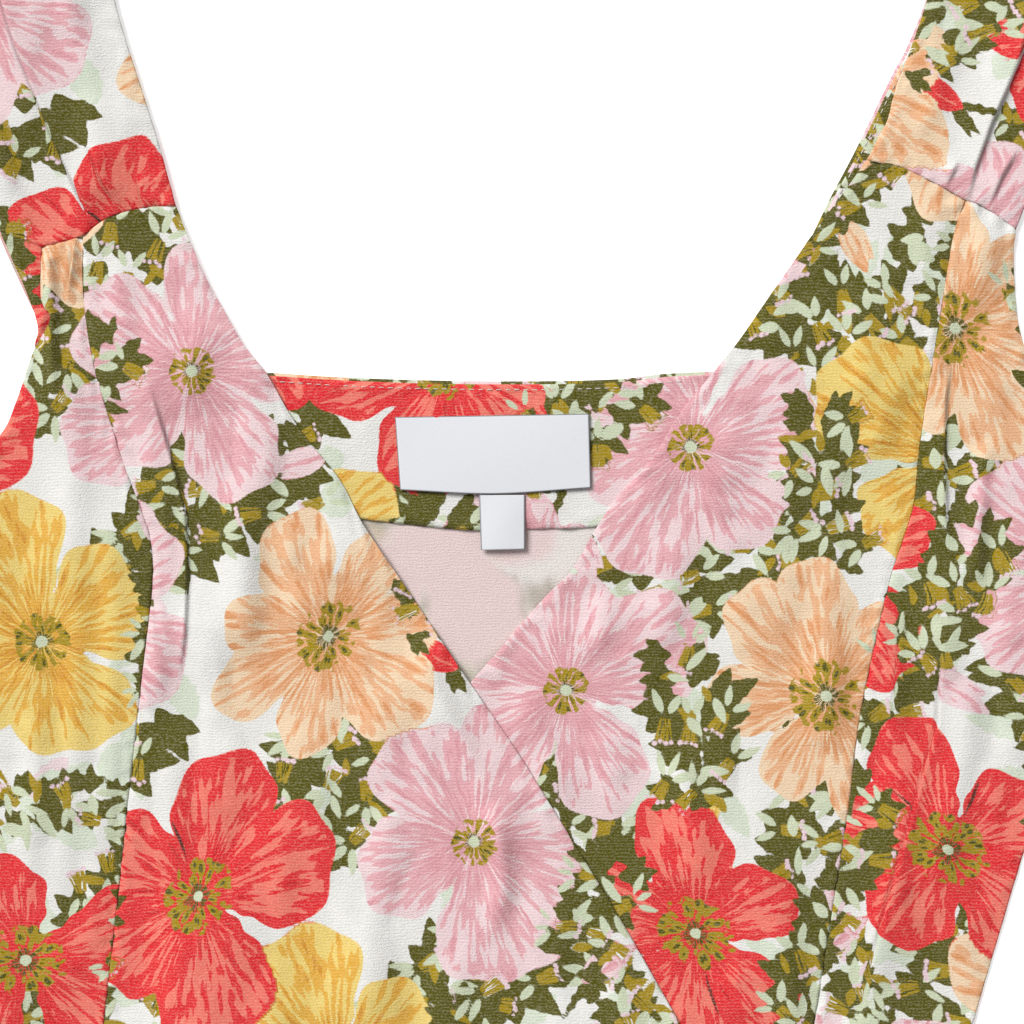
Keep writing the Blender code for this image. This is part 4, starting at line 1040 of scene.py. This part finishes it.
def petals(g, kind, kinds, heart, ray, flat, seed, rim, brush):
    """Strokes from the petal's rim and from the heart, a ring of dotted stamens and a pale middle."""
    pull = g.sum(g.dot(kind, (-1.3, -1.35, -1.2)), 1.0)
    margin = g.sum(g.line(rim, 0.3, 2.4, 0.36, 0.0), g.line(rim, 0, 11, 0.19, 0))
    near_heart = g.line(heart, 9.0, 30.0, 0.16, 0.0)
    inner = g.sum(brush, g.sum(g.dot(kind, (0.07, 0.09, 0.04)), 0.08, near_heart))
    score = g.sum(inner, g.product(margin, pull))
    petal = g.mix(g.ramp(score, 0.60, 0.65), by_kind(g, kinds, PALE), by_kind(g, kinds, DARK))
    petal = g.mix(g.ramp(inner, 0.78, 0.83), petal, by_kind(g, kinds, DEEP))
    size = g.sum(g.dot(kind, (0.7, 0.1, 0.4)), 1.0)
    wobble = g.scaled(g.noise(flat, 0.22), 9.0, -4.5)
    ring = g.sum(g.product(heart, size), wobble)
    grown = g.scaled(heart, 0.17, seed)
    around = g.moved(g.stretched(ray, (STAMENS, STAMENS, 0)), 0.0, grown)
    stamen = g.add("TexVoronoi", around, None, 1.0, voronoi_dimensions="3D")
    in_ring = g.product(g.ramp(ring, 4.6, 5.4), g.below(ring, 14.0, 15.0))
    petal = g.mix(g.product(in_ring, g.below(stamen, 0.56, 0.64)), petal, ink(MUSTARD))
    petal = g.mix(g.product(in_ring, g.below(stamen, 0.24, 0.31)), petal, ink(OLIVE))
    middle = g.product(g.below(ring, 4.4, 5.2), g.ramp(brush, 0.40, 0.46))
    petal = g.mix(middle, petal, ink(OLIVE))
    return g.mix(g.below(heart, 1.9, 2.4), petal, ink(MINT))


print(3 * len(KINDS), "inks for the petals")

# %% [markdown]
# The crepe's bump and its flecks come from one height: sine ribs that crinkle, and grain.
# Where a yarn stands high, the undyed one beside it shows as a fleck.

# %% Crepe and its print
RIB_TURN = 2 * np.pi / 1.15
SOFT = 0.26
SOFT_INSIDE = 2.6
INSIDE_SHARE = 0.58
# How much the painted shade at the foot of a pleat darkens the colour.
PAINTED_FOLD_SHADE = -0.36


def print_colour(g, place, wrong_side):
    """Colour of the print at a point, from the ground up. The wrong side shows blurred flat tints."""
    soft = SOFT_INSIDE if wrong_side else SOFT
    ragged = g.scaled(g.noise(place, 1.1), 0.7, -0.35)
    _, olive, mint, mustard = g.parts("print_leaf")
    _, lilac, smudge, blush = g.parts("print_small")
    _, bloom, rim, mouth = g.parts("print_bloom")
    spot, _, _, seed = g.parts("print_place")
    kind, *kinds = g.parts("print_kind")
    _, line, over, _ = g.parts("print_over")

    def cover(depth):
        """1 where a motif covers the cloth, 0 outside, with a ragged edge."""
        return g.ramp(g.sum(depth, ragged), -soft, soft)

    flat = g.stretched(spot, (1, 1, 0))
    heart = g.add("VectorMath", flat, operation="LENGTH", out=1)
    ray = g.vector("NORMALIZE", flat)
    out = g.scaled(seed, SEED_STEP, g.math("DIVIDE", heart, STROKE_LENGTH))
    brush = g.noise(g.moved(g.stretched(ray, (STROKES, STROKES, 0)), 0.0, out), 1.0, 1.2)
    if wrong_side:
        petal = g.mix(0.5, by_kind(g, kinds, PALE), by_kind(g, kinds, DARK))
    else:
        petal = petals(g, kind, kinds, heart, ray, flat, seed, rim, brush)
    stripes = g.noise(g.moved(g.stretched(ray, (STRIPES, STRIPES, 0)), 0.0, out))
    stripes = g.product(cover(mouth), g.ramp(stripes, 0.38, 0.44))
    colour = ink(GROUND)
    for share, code in (
        (cover(blush), BLUSH), (cover(smudge), SMUDGE), (cover(olive), OLIVE), (cover(mustard), MUSTARD),
        (stripes, MUSTARD), (cover(mint), MINT), (cover(lilac), LILAC),
    ):
        colour = g.mix(share, colour, ink(code))
    leaves = colour
    colour = g.mix(cover(bloom), leaves, petal)
    colour = g.mix(cover(line), colour, ink(STROKE_LINE))
    return g.mix(cover(over), colour, leaves)


def crepe(name, wrong_side=False):
    """The printed cloth. Between the inked yarns the undyed ones show as flecks of the ground, and painted
    shade darkens the colour at the foot of each pleat.
    """
    g = Graph(name)
    place = g.object_place((1000, 1000, 1000))
    colour = print_colour(g, place, wrong_side)
    if wrong_side:
        colour = g.mix(INSIDE_SHARE, colour, ink(INSIDE))
    bent = g.moved(place, g.product(g.noise(place, 0.09), 2.4))
    up = g.add("SeparateXYZ", bent).node.outputs[1]
    crinkle = g.noise(g.stretched(bent, (0.75, 1.5, 0.3)))
    ribs = g.math("SINE", g.scaled(crinkle, 7.0, g.product(up, RIB_TURN)))
    grain = g.noise(g.stretched(bent, (1.5, 2.5, 1.0)))
    weave = g.scaled(ribs, 0.11, g.scaled(grain, 1.1, -0.05))
    colour = g.mix(g.line(weave, 0.44, 0.76, 0.0, 0.18), colour, ink(UNDYED))
    # The crepe's own uneven tone, times painted shade at the foot of each pleat, where a deep fold would lie
    # in shadow.
    painted_fold_shade = g.add("Attribute", attribute_name="painted_fold_shade", out=2)
    shade = g.product(g.line(weave, 0.3, 0.7, 0.94, 1.05), g.scaled(painted_fold_shade, PAINTED_FOLD_SHADE, 1.0))
    colour = g.vector("MULTIPLY", colour, g.add("CombineXYZ", shade, shade, shade))
    return g.end(colour, 0.9, weave, 0.68, 0.42, 0.03)


CREPE = crepe("printed_crepe")
CREPE_INSIDE = crepe("printed_crepe_wrong_side", True)
print(len(CREPE.node_tree.nodes), "nodes in the crepe")

# %% [markdown]
# ## Laying the pieces
# Every piece goes through the same steps: its grid, the height of what it lies on, its folds,
# the slight roll at each of its edges that makes a seam read as a valley, and its place on
# the print. Then it takes over from its solid, and the area it was cut to is worked out.

# %% Height of a piece
CALM_EDGE = 12
DIP = 0.4
EDGE_DROP = 0.35
VALLEY, PUCKERED = 1.3, 5
PUCKER = 0.75
UPRIGHT = (1.0, 0.4)
outlines = {}


def laid_height(node, grid, lies_on, seed, uneven, loose, roll):
    """Height of each grid point: base, lifts, folds, unevenness and edge rolls, in that order.

    The unevenness dies out towards the edges, apart from a loose one, such as the edge of a
    wrap, and it dips no deeper than DIP, so that no layer sinks through the next. With the
    height come the shift of the print and the painted shade that darkens the colour at the foot of the
    pleats.
    """
    height = np.full(grid.shape[:2], FIRST_TOP)
    for below in lies_on:
        height += LAYER * (1.0 if below == "back" else lap(grid, outlines[below]))
    # The painted shade at the feet of the pleats is gathered with the lifts.
    moved, painted_shade = np.zeros_like(grid), np.zeros_like(height)
    for crease in CREASES.get(node, ()):
        lift, shift, foot = crease_form(crease, grid)
        height += lift
        moved += shift
        painted_shade = np.maximum(painted_shade, foot)
    ends = from_edges(grid)
    inner = ease(np.minimum.reduce([end for k, end in enumerate(ends) if k != loose]) / CALM_EDGE)
    broad, upright = ripples(grid, 3, 52, 1.05), ripples(grid * UPRIGHT, 4, 21, 0.62)
    waves = uneven * inner * (broad + upright + ripples(grid, seed, 12, 0.15))
    height += np.where(waves > 0, waves, DIP * np.tanh(waves / DIP))
    pinch = PUCKER * ripples(grid, seed + 50, 6, 1.0)
    for gap in ends if roll else ():
        height -= EDGE_DROP * (np.exp(-(gap / VALLEY) ** 2) - pinch * np.exp(-(gap / PUCKERED) ** 2))
    return height, moved, painted_shade


print("an edge rolls down by", EDGE_DROP, "mm within", VALLEY, "mm")

# %% Lay one piece
def sewn(node, grids, lies_on, print_at, turn=0.0, held="laid", fuller=1.0, seed=1,
         roll=True, uneven=1.0, loose=None, material=CREPE, wall=WALL, **options):
    """Lays a piece, prints it at its place of the repeat, and works out its cut area."""
    outlines[node] = outline_of(grids[0])
    heights, prints, folds = [], [], []
    c, s = np.cos(np.radians(turn)), np.sin(np.radians(turn))
    for grid in grids:
        height, moved, painted_shade = laid_height(node, grid, lies_on, seed, uneven, loose, roll)
        x, y = np.moveaxis(grid + moved, -1, 0)
        prints.append(np.dstack([x * c - y * s, x * s + y * c]) + np.array(print_at, float))
        heights.append(height)
        folds.append(painted_shade.ravel())
    piece = cloth_object(node + "_cloth", grids, heights, prints, material, wall, **options)
    shade = np.concatenate(folds).astype(np.float32)
    # Each point keeps its painted fold shade, by which the crepe darkens its colour.
    piece.data.attributes.new("painted_fold_shade", "FLOAT", "POINT").data.foreach_set("value", shade)
    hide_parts(node)
    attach(piece, "root")
    area = sum(area_of(outline_of(grid)) for grid in grids) * fuller * MM ** 2
    return piece


print("pieces are sewn with a wall of", WALL, "mm unless they say otherwise")

# %% [markdown]
# ### The back
# The back lies face down, so its wrong side shows inside the neck, pale and blurred, and the
# printed side rests on the surface. Its whole wall is built, with the print underneath. Its
# neck edges are rolled in, so the faces beside them carry the print as well.

# %% Back pieces
BACK_SIZE, STRAP_SIZE = (170, 110), (44, 90)
back_neck_line = edge("back_neck")
back_top = np.vstack([[(-178.0, BACK_SEAM_Y)], back_neck_line, [(191.0, BACK_SEAM_Y)]])
waist = [(WAIST_LEFT, WAIST_Y), (WAIST_RIGHT, WAIST_Y)]
back = dict(lies_on=(), material=CREPE_INSIDE, wall=FIRST_TOP, rim_only=False, uneven=0.0, roll=False)
grid = patch(back_top, waist, edge("back_armhole_left", "side_left"),
             edge("back_armhole_right", "side_right"), *BACK_SIZE)
backs = [sewn("back_bodice", [grid], print_at=(210, 330), **back)]
for side, at in (("left", (90, 20)), ("right", (300, 60))):
    inner, outer = edge("back_inner_" + side), edge("back_outer_" + side)
    west, east = (outer, inner) if side == "left" else (inner, outer)
    backs.append(sewn("strap_back_" + side, [strip(west, east, *STRAP_SIZE)], print_at=at, **back))
sizes, neck_faces = (BACK_SIZE, STRAP_SIZE, STRAP_SIZE), (np.s_[0], np.s_[:, -1], np.s_[:, 0])
for piece, size, at_edge in zip(backs, sizes, neck_faces):
    rolled = np.zeros((size[1] - 1, size[0] - 1), np.int32)
    rolled[at_edge] = 1
    piece.data.materials.append(CREPE)
    piece.data.polygons.foreach_set("material_index", rolled.ravel())
    piece.modifiers["wall"].material_offset = 1
    piece.modifiers["wall"].material_offset_rim = 1
print(len(backs), "pieces of the back")

# %% [markdown]
# The skirt's back shows only its outer side, below. It faces down.

# %% Skirt back
sewn("skirt_back", [skirt_panel(SIDE_LINE_LEFT, SIDE_LINE_RIGHT, 200, 200)], (), (40, 70), wall=0.0,
     uneven=0.0, roll=False, face_down=True)

# %% [markdown]
# ### The facing
# The facing is cut from the same print and lies right side up inside the neck. Its arms run
# up the straps.

# %% Facing
facing_top = back_neck_line - [0, EDGE_ROLL]
lower = edge("facing_lower")
grid = patch(facing_top, lower, [facing_top[0], lower[0]], [facing_top[-1], lower[-1]], 240, 52)
sewn("neck_facing", [grid], ("back",), (118, 276), turn=12, seed=5, uneven=0.6)
for side, sign, at, size in (("left", -1, (60, 140), (24, 60)), ("right", 1, (250, 330), (60, 170))):
    inner = edge("back_inner_" + side)[:-4] + [sign * EDGE_ROLL, 0]
    outer = inner + [sign * FACING_DEPTH, 0]
    west, east = (outer, inner) if side == "left" else (inner, outer)
    sewn("strap_facing_" + side, [strip(west, east, *size)], ("back",), at, seed=8, uneven=0.4)

# %% [markdown]
# ### The front that wraps under
# Its centre panel runs from the strap to the far side of the waist, though half of it is
# hidden. The grid is fine enough for the print's smallest leaves.

# %% Under front
UNDER = ("back", "neck_facing", "strap_facing_left", "strap_facing_right")
grid = patch(edge("strap_seam_right"), [(WRAP_UNDER_X, WAIST_Y), (SEAM_RIGHT_X, WAIST_Y)],
             edge("neck_under", "wrap_under"), edge("princess_right"), 205, 370)
sewn("front_centre_under", [grid], UNDER, (262, 396), seed=12, loose=0)
grid = patch(edge("strap_seam_right_side"), [(SEAM_RIGHT_X, WAIST_Y), (WAIST_RIGHT, WAIST_Y)],
             edge("princess_right"), edge("armhole_right", "side_right"), 84, 360)
sewn("front_side_under", [grid], UNDER, (214, 260), seed=14)
inner, outer = edge("strap_inner_right"), edge("strap_outer_right")
seam = edge("strap_seam_right", "strap_seam_right_side")
grid = patch([inner[0], outer[0]], seam, inner, outer, 84, 116)
sewn("strap_front_right", [grid], UNDER, (120, 60), seed=16, held="gathered", fuller=1.22)

# %% [markdown]
# ### The front that wraps over
# This is the top layer. The strap on this side ends in a narrow tail that runs down the
# armhole, so it is two patches that meet.

# %% Over front
OVER = (*UNDER, "front_centre_under")
TIP_WIDTH = 0.3
grid = patch(edge("strap_seam_left"), [(SEAM_LEFT_X, WAIST_Y), (WRAP_OVER_X, WAIST_Y)],
             edge("princess_left"), edge("neck_over", "wrap_over"), 215, 390)
sewn("front_centre_over", [grid], OVER, (300, 270), seed=21, loose=1)
grid = patch(edge("strap_seam_left_side"), [(WAIST_LEFT, WAIST_Y), (SEAM_LEFT_X, WAIST_Y)],
             edge("strap_tail_left", "armhole_left", "side_left"), edge("princess_left"), 80, 360)
sewn("front_side_over", [grid], OVER, (410, 110), seed=23)
joint = [EDGE["tail_outer_left"][0], EDGE["strap_tail_left"][0]]
inner, outer = edge("strap_inner_left"), edge("strap_outer_left")
seam = np.vstack([joint, edge("strap_seam_left_side", "strap_seam_left")[1:]])
upper = patch([outer[0], inner[0]], seam, outer, inner, 90, 120)
tip = EDGE["strap_tail_left"][-1]
tail = patch(joint, [(tip[0] - TIP_WIDTH, tip[1]), tip], edge("tail_outer_left"), edge("strap_tail_left"),
             22, 44)
sewn("strap_front_left", [upper, tail], OVER, (330, 40), seed=25, held="gathered", fuller=1.22)

# %% [markdown]
# ### The skirt
# The photograph stops above the waist, so the skirt is finished plainly: two fronts that wrap
# as the bodice does, with long soft folds from the waist and others that rise at the hem.

# %% Skirt fronts
grid = skirt_panel(UNDER_LINE, SIDE_LINE_RIGHT, 160, 220)
sewn("skirt_under", [grid], ("back",), (262, 430), seed=31, uneven=1.6)
grid = skirt_panel(SIDE_LINE_LEFT, OVER_LINE, 210, 235)
sewn("skirt_over", [grid], ("back", "skirt_under"), (20, 230), seed=33, uneven=1.6, loose=1)

# %% [markdown]
# ### The waist tie
# Two ties come from the corner of the wrap and from the side seam, meet in a knot and hang
# from it. A tie lies on two layers of cloth everywhere, so "back" is named twice.

# %% Ties
TIE_AT_KNOT, TIE_TO_KNOT, TIE_LEAN = 8.0, 10.8, 7.0
top_y, low_y = WAIST_Y + TIE_WIDTH / 2, WAIST_Y - TIE_WIDTH / 2
left_x, right_x = KNOT_AT[0] - TIE_TO_KNOT, KNOT_AT[0] + TIE_TO_KNOT
corner = [(WRAP_OVER_X - TIE_LEAN, top_y), (WRAP_OVER_X, WAIST_Y), (WRAP_OVER_X + 1, low_y)]
side_end = [(WAIST_RIGHT + TIE_LEAN / 2, top_y), (WAIST_RIGHT, WAIST_Y), (WAIST_RIGHT + TIE_LEAN, low_y)]
at_knot = [[(x, WAIST_Y + TIE_AT_KNOT), (x, WAIST_Y - TIE_AT_KNOT)] for x in (left_x, right_x)]
for node, west, east in (("tie_front", corner, at_knot[0]), ("tie_side", at_knot[1], side_end)):
    sewn(node, [strip(west, east, 40, 26)], ("back", "back"), (140, 90), seed=41, uneven=0.5, fuller=1.3,
         held="gathered")
for node, rows in TIE_ENDS.items():
    middle = np.array([(row.x, WAIST_Y - row.down) for row in rows])
    half = np.array([(row.width / 2, 0.0) for row in rows])
    west = middle - half
    west[-1, 1] -= TIE_TIP
    grid = strip(curve(west), curve(middle + half), 16, 190)
    sewn(node, [grid], ("back", "back", "skirt_over"), (300, 40), seed=43, uneven=0.8)

# %% [markdown]
# A knot is cloth wound round itself, so its surface is a squashed ball with grooves that run
# round it at a slant. The distance from the middle is 1, less a bell curve of the angle to
# each groove. The print is read by the two angles, as on a globe.

# %% Knot
KNOT_HALF = (15.0, 12.0, 5.0)
KNOT_BOTTOM = 2 * LAYER
GROOVES = (0.3, 1.5, 2.2)
GROOVE_WIDTH, GROOVE_DEPTH, GROOVE_SLANT = 0.16, 0.10, 1.6
WELD_WITHIN = 0.00002
u, v = np.meshgrid(np.linspace(0, 2 * np.pi, 73)[:-1], np.linspace(-0.5, 0.5, 41) * np.pi)
groove = sum(np.exp(-(np.sin((u + GROOVE_SLANT * v) / 2 + k) / GROOVE_WIDTH) ** 2) for k in GROOVES)
size = 1 - GROOVE_DEPTH * np.minimum(groove, 1.4) * np.cos(v)
points = np.dstack([size * np.cos(v) * np.cos(u), size * np.cos(v) * np.sin(u), size * np.sin(v)])
points = points * KNOT_HALF + [*(np.array(KNOT_AT) + SHIFT), KNOT_BOTTOM + KNOT_HALF[2]]
at = np.dstack([u * 12, v * 12]).reshape(-1, 2) + [150, 90]
knot = new_piece("tie_knot_cloth", points.reshape(-1, 3), tube_quads(*u.shape).tolist(), CREPE, at)
weld = knot.modifiers.new("close the poles", "WELD")
weld.merge_threshold = WELD_WITHIN
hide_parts("tie_knot")
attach(knot, "root")
print("knot of", len(knot.data.polygons), "faces")

# %% [markdown]
# ## Labels
# A satin label is woven with a smooth face, so it shines a little more than the crepe, and
# its colour is darker in a thin line along some of its edges. Both labels are left bare.
# They are sheets too, with a soft sag between the stitches that hold them.

# %% Satin labels
LABEL_TOP = FIRST_TOP + 2 * LAYER - 0.2
LABEL_WALL = 0.45


def satin(name, border_x, border_y, border):
    """Smooth white ribbon: very fine ribs across it, and a darker line along chosen edges."""
    g = Graph(name)
    parts = g.add("SeparateXYZ", g.add("TexCoord", out=2)).node
    near_x = g.math("PINGPONG", parts.outputs[0], 0.5)
    near_y = g.math("PINGPONG", parts.outputs[1], 0.5)
    on_x = g.below(near_x, border_x * 0.6, border_x)
    on_y = g.below(near_y, border_y * 0.6, border_y)
    ribs = g.noise(g.object_place((700, 4200, 1000)))
    white = g.mix(ribs, ink("DBDDE2"), ink("E6E7EB"))
    colour = g.mix(g.product(g.math("MAXIMUM", on_x, on_y), border), white, ink("5C5B60"))
    return g.end(colour, 0.42, ribs, 0.15, 0.1, 0.0)


for node, name, border, columns, rows, sag in (
    ("main_label", "label", (0.006, 0.016, 0.75), 90, 40, 0.9),
    ("size_tag", "tag", (0.035, 0.0, 0.7), 40, 44, 0.7),
):
    top, bottom = curve(EDGE[name + "_top"]), curve(EDGE[name + "_bottom"])
    grid = patch(top, bottom, [top[0], bottom[0]], [top[-1], bottom[-1]], columns, rows)
    u, v = np.meshgrid(np.linspace(0, 1, columns), np.linspace(0, 1, rows))
    height = LABEL_TOP + sag * np.sin(np.pi * u) * np.sin(np.pi * np.clip(v * 0.75 + 0.05, 0, 1))
    ribbon = satin(node + "_ribbon", *border)
    piece = cloth_object(node + "_satin", [grid], [height], None, ribbon, LABEL_WALL)
    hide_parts(node)
    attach(piece, "root")

# %% [markdown]
# ## Topstitching
# A row of stitches runs just below the back neck and down the edge of the right strap. A
# stitch is a short capsule of thread, sunk at both ends. One capsule is worked out, and
# arrays set a copy of it at every place along the line.

# %% Stitches
FACING_TOP = FIRST_TOP + LAYER
RINGS, AROUND = 7, 6
THREAD = 0.34
STITCH_LENGTH = 2.2
STITCH_GAP = 1.1


def stitches(name, path):
    """Capsules along a path: a ring of six sides carried along a short arc that dips at its ends."""
    run = np.hypot(*np.diff(path, axis=0).T).sum()
    count = int(run / (STITCH_LENGTH + STITCH_GAP))
    at = spaced(path, count + 1)
    middle, heading = (at[1:] + at[:-1]) / 2, np.diff(at, axis=0)
    heading /= np.hypot(*heading.T)[:, None]
    s, a = np.meshgrid(np.linspace(-1, 1, RINGS), np.linspace(0, 2 * np.pi, AROUND + 1)[:-1], indexing="ij")
    thick = THREAD / 2 * np.sqrt(np.clip(1 - s ** 6, 0.02, 1))
    arc = THREAD * 0.4 * (1 - s ** 2)
    local = np.dstack([s * STITCH_LENGTH / 2, thick * np.cos(a), thick * np.sin(a) + arc])
    along = heading[:, None, None] * local[..., :1] + middle[:, None, None]
    across = np.column_stack([-heading[:, 1], heading[:, 0]])[:, None, None] * local[..., 1:2]
    z = np.broadcast_to(local[..., 2:] + FACING_TOP, (count, RINGS, AROUND, 1))
    points = np.concatenate([along + across + SHIFT, z], -1).reshape(-1, 3)
    first = RINGS * AROUND * np.arange(count)[:, None, None]
    faces = (tube_quads(RINGS, AROUND)[None, :, ::-1] + first).reshape(-1, 4).tolist()
    n = np.arange(RINGS * AROUND).reshape(RINGS, AROUND)
    faces += (np.vstack([n[0], n[-1, ::-1]])[None] + first).reshape(-1, AROUND).tolist()
    g = Graph(name + "_thread")
    twist = g.noise(g.object_place((2500, 2500, 2500)))
    thread = g.end(g.mix(twist, ink("D2C8BF"), ink("E4DDD6")), 0.7, twist, 0.3, 0.1)
    piece = new_piece(name, points, faces, thread)
    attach(piece, "root")
    print(name, count, "stitches")


stitches("neck_stitches", back_neck_line[4:-4] - [0, 3.2])
stitches("strap_stitches", edge("back_inner_right")[1:-6] + [2.6, 0])

# %% [markdown]
# ## Floor, light and camera
# The dress was photographed from straight above on white, under a broad even light with a
# little more of it from the upper left, which shows the folds without hard shadows. It lies
# on a light table: the glow from below takes away most of its shadow on the white.

# %% Floor
GLOW = 0.42
bpy.ops.mesh.primitive_plane_add(size=14.0, location=(0, 0, 0))
floor = bpy.context.object
floor.name = "floor"
g = Graph("light_table")
g.shader.inputs["Emission Color"].default_value = (1.0, 1.0, 1.0, 1.0)
g.shader.inputs["Emission Strength"].default_value = GLOW
floor.data.materials.append(g.end((0.93, 0.93, 0.93, 1.0), 0.9))
print("a lit floor", floor.dimensions.x, "m wide")

# %% Light
SKY = 0.4
KEY = 3.85
KEY_SOFTNESS = 30
world = bpy.data.worlds.new("studio")
bpy.context.scene.world = world
world.use_nodes = True
world.node_tree.nodes["Background"].inputs["Color"].default_value = (1.0, 1.0, 1.0, 1.0)
world.node_tree.nodes["Background"].inputs["Strength"].default_value = SKY
key_data = bpy.data.lights.new("key", "SUN")
key_data.energy = KEY
key_data.angle = np.radians(KEY_SOFTNESS)
key = bpy.data.objects.new("key", key_data)
key.rotation_mode = "QUATERNION"
key.rotation_quaternion = Vector((0.68, -0.72, -0.95)).to_track_quat("-Z", "Y")
bpy.context.scene.collection.objects.link(key)
bpy.context.scene.view_settings.view_transform = "Standard"
print("key light", KEY, "over a sky of", SKY)

# %% Camera
PHOTO_SIDE = 378.9
LENS = 85.0
SENSOR = 36.0
CLOTH_TOP = 3.0
camera_data = bpy.data.cameras.new("camera")
camera_data.lens = LENS
camera_data.sensor_width = SENSOR
camera = bpy.data.objects.new("camera", camera_data)
camera.location = (SHIFT[0] * MM, SHIFT[1] * MM, (PHOTO_SIDE / SENSOR * LENS + CLOTH_TOP) * MM)
bpy.context.scene.collection.objects.link(camera)
bpy.context.scene.camera = camera
print("camera", round(camera.location.z, 3), "m above the surface")
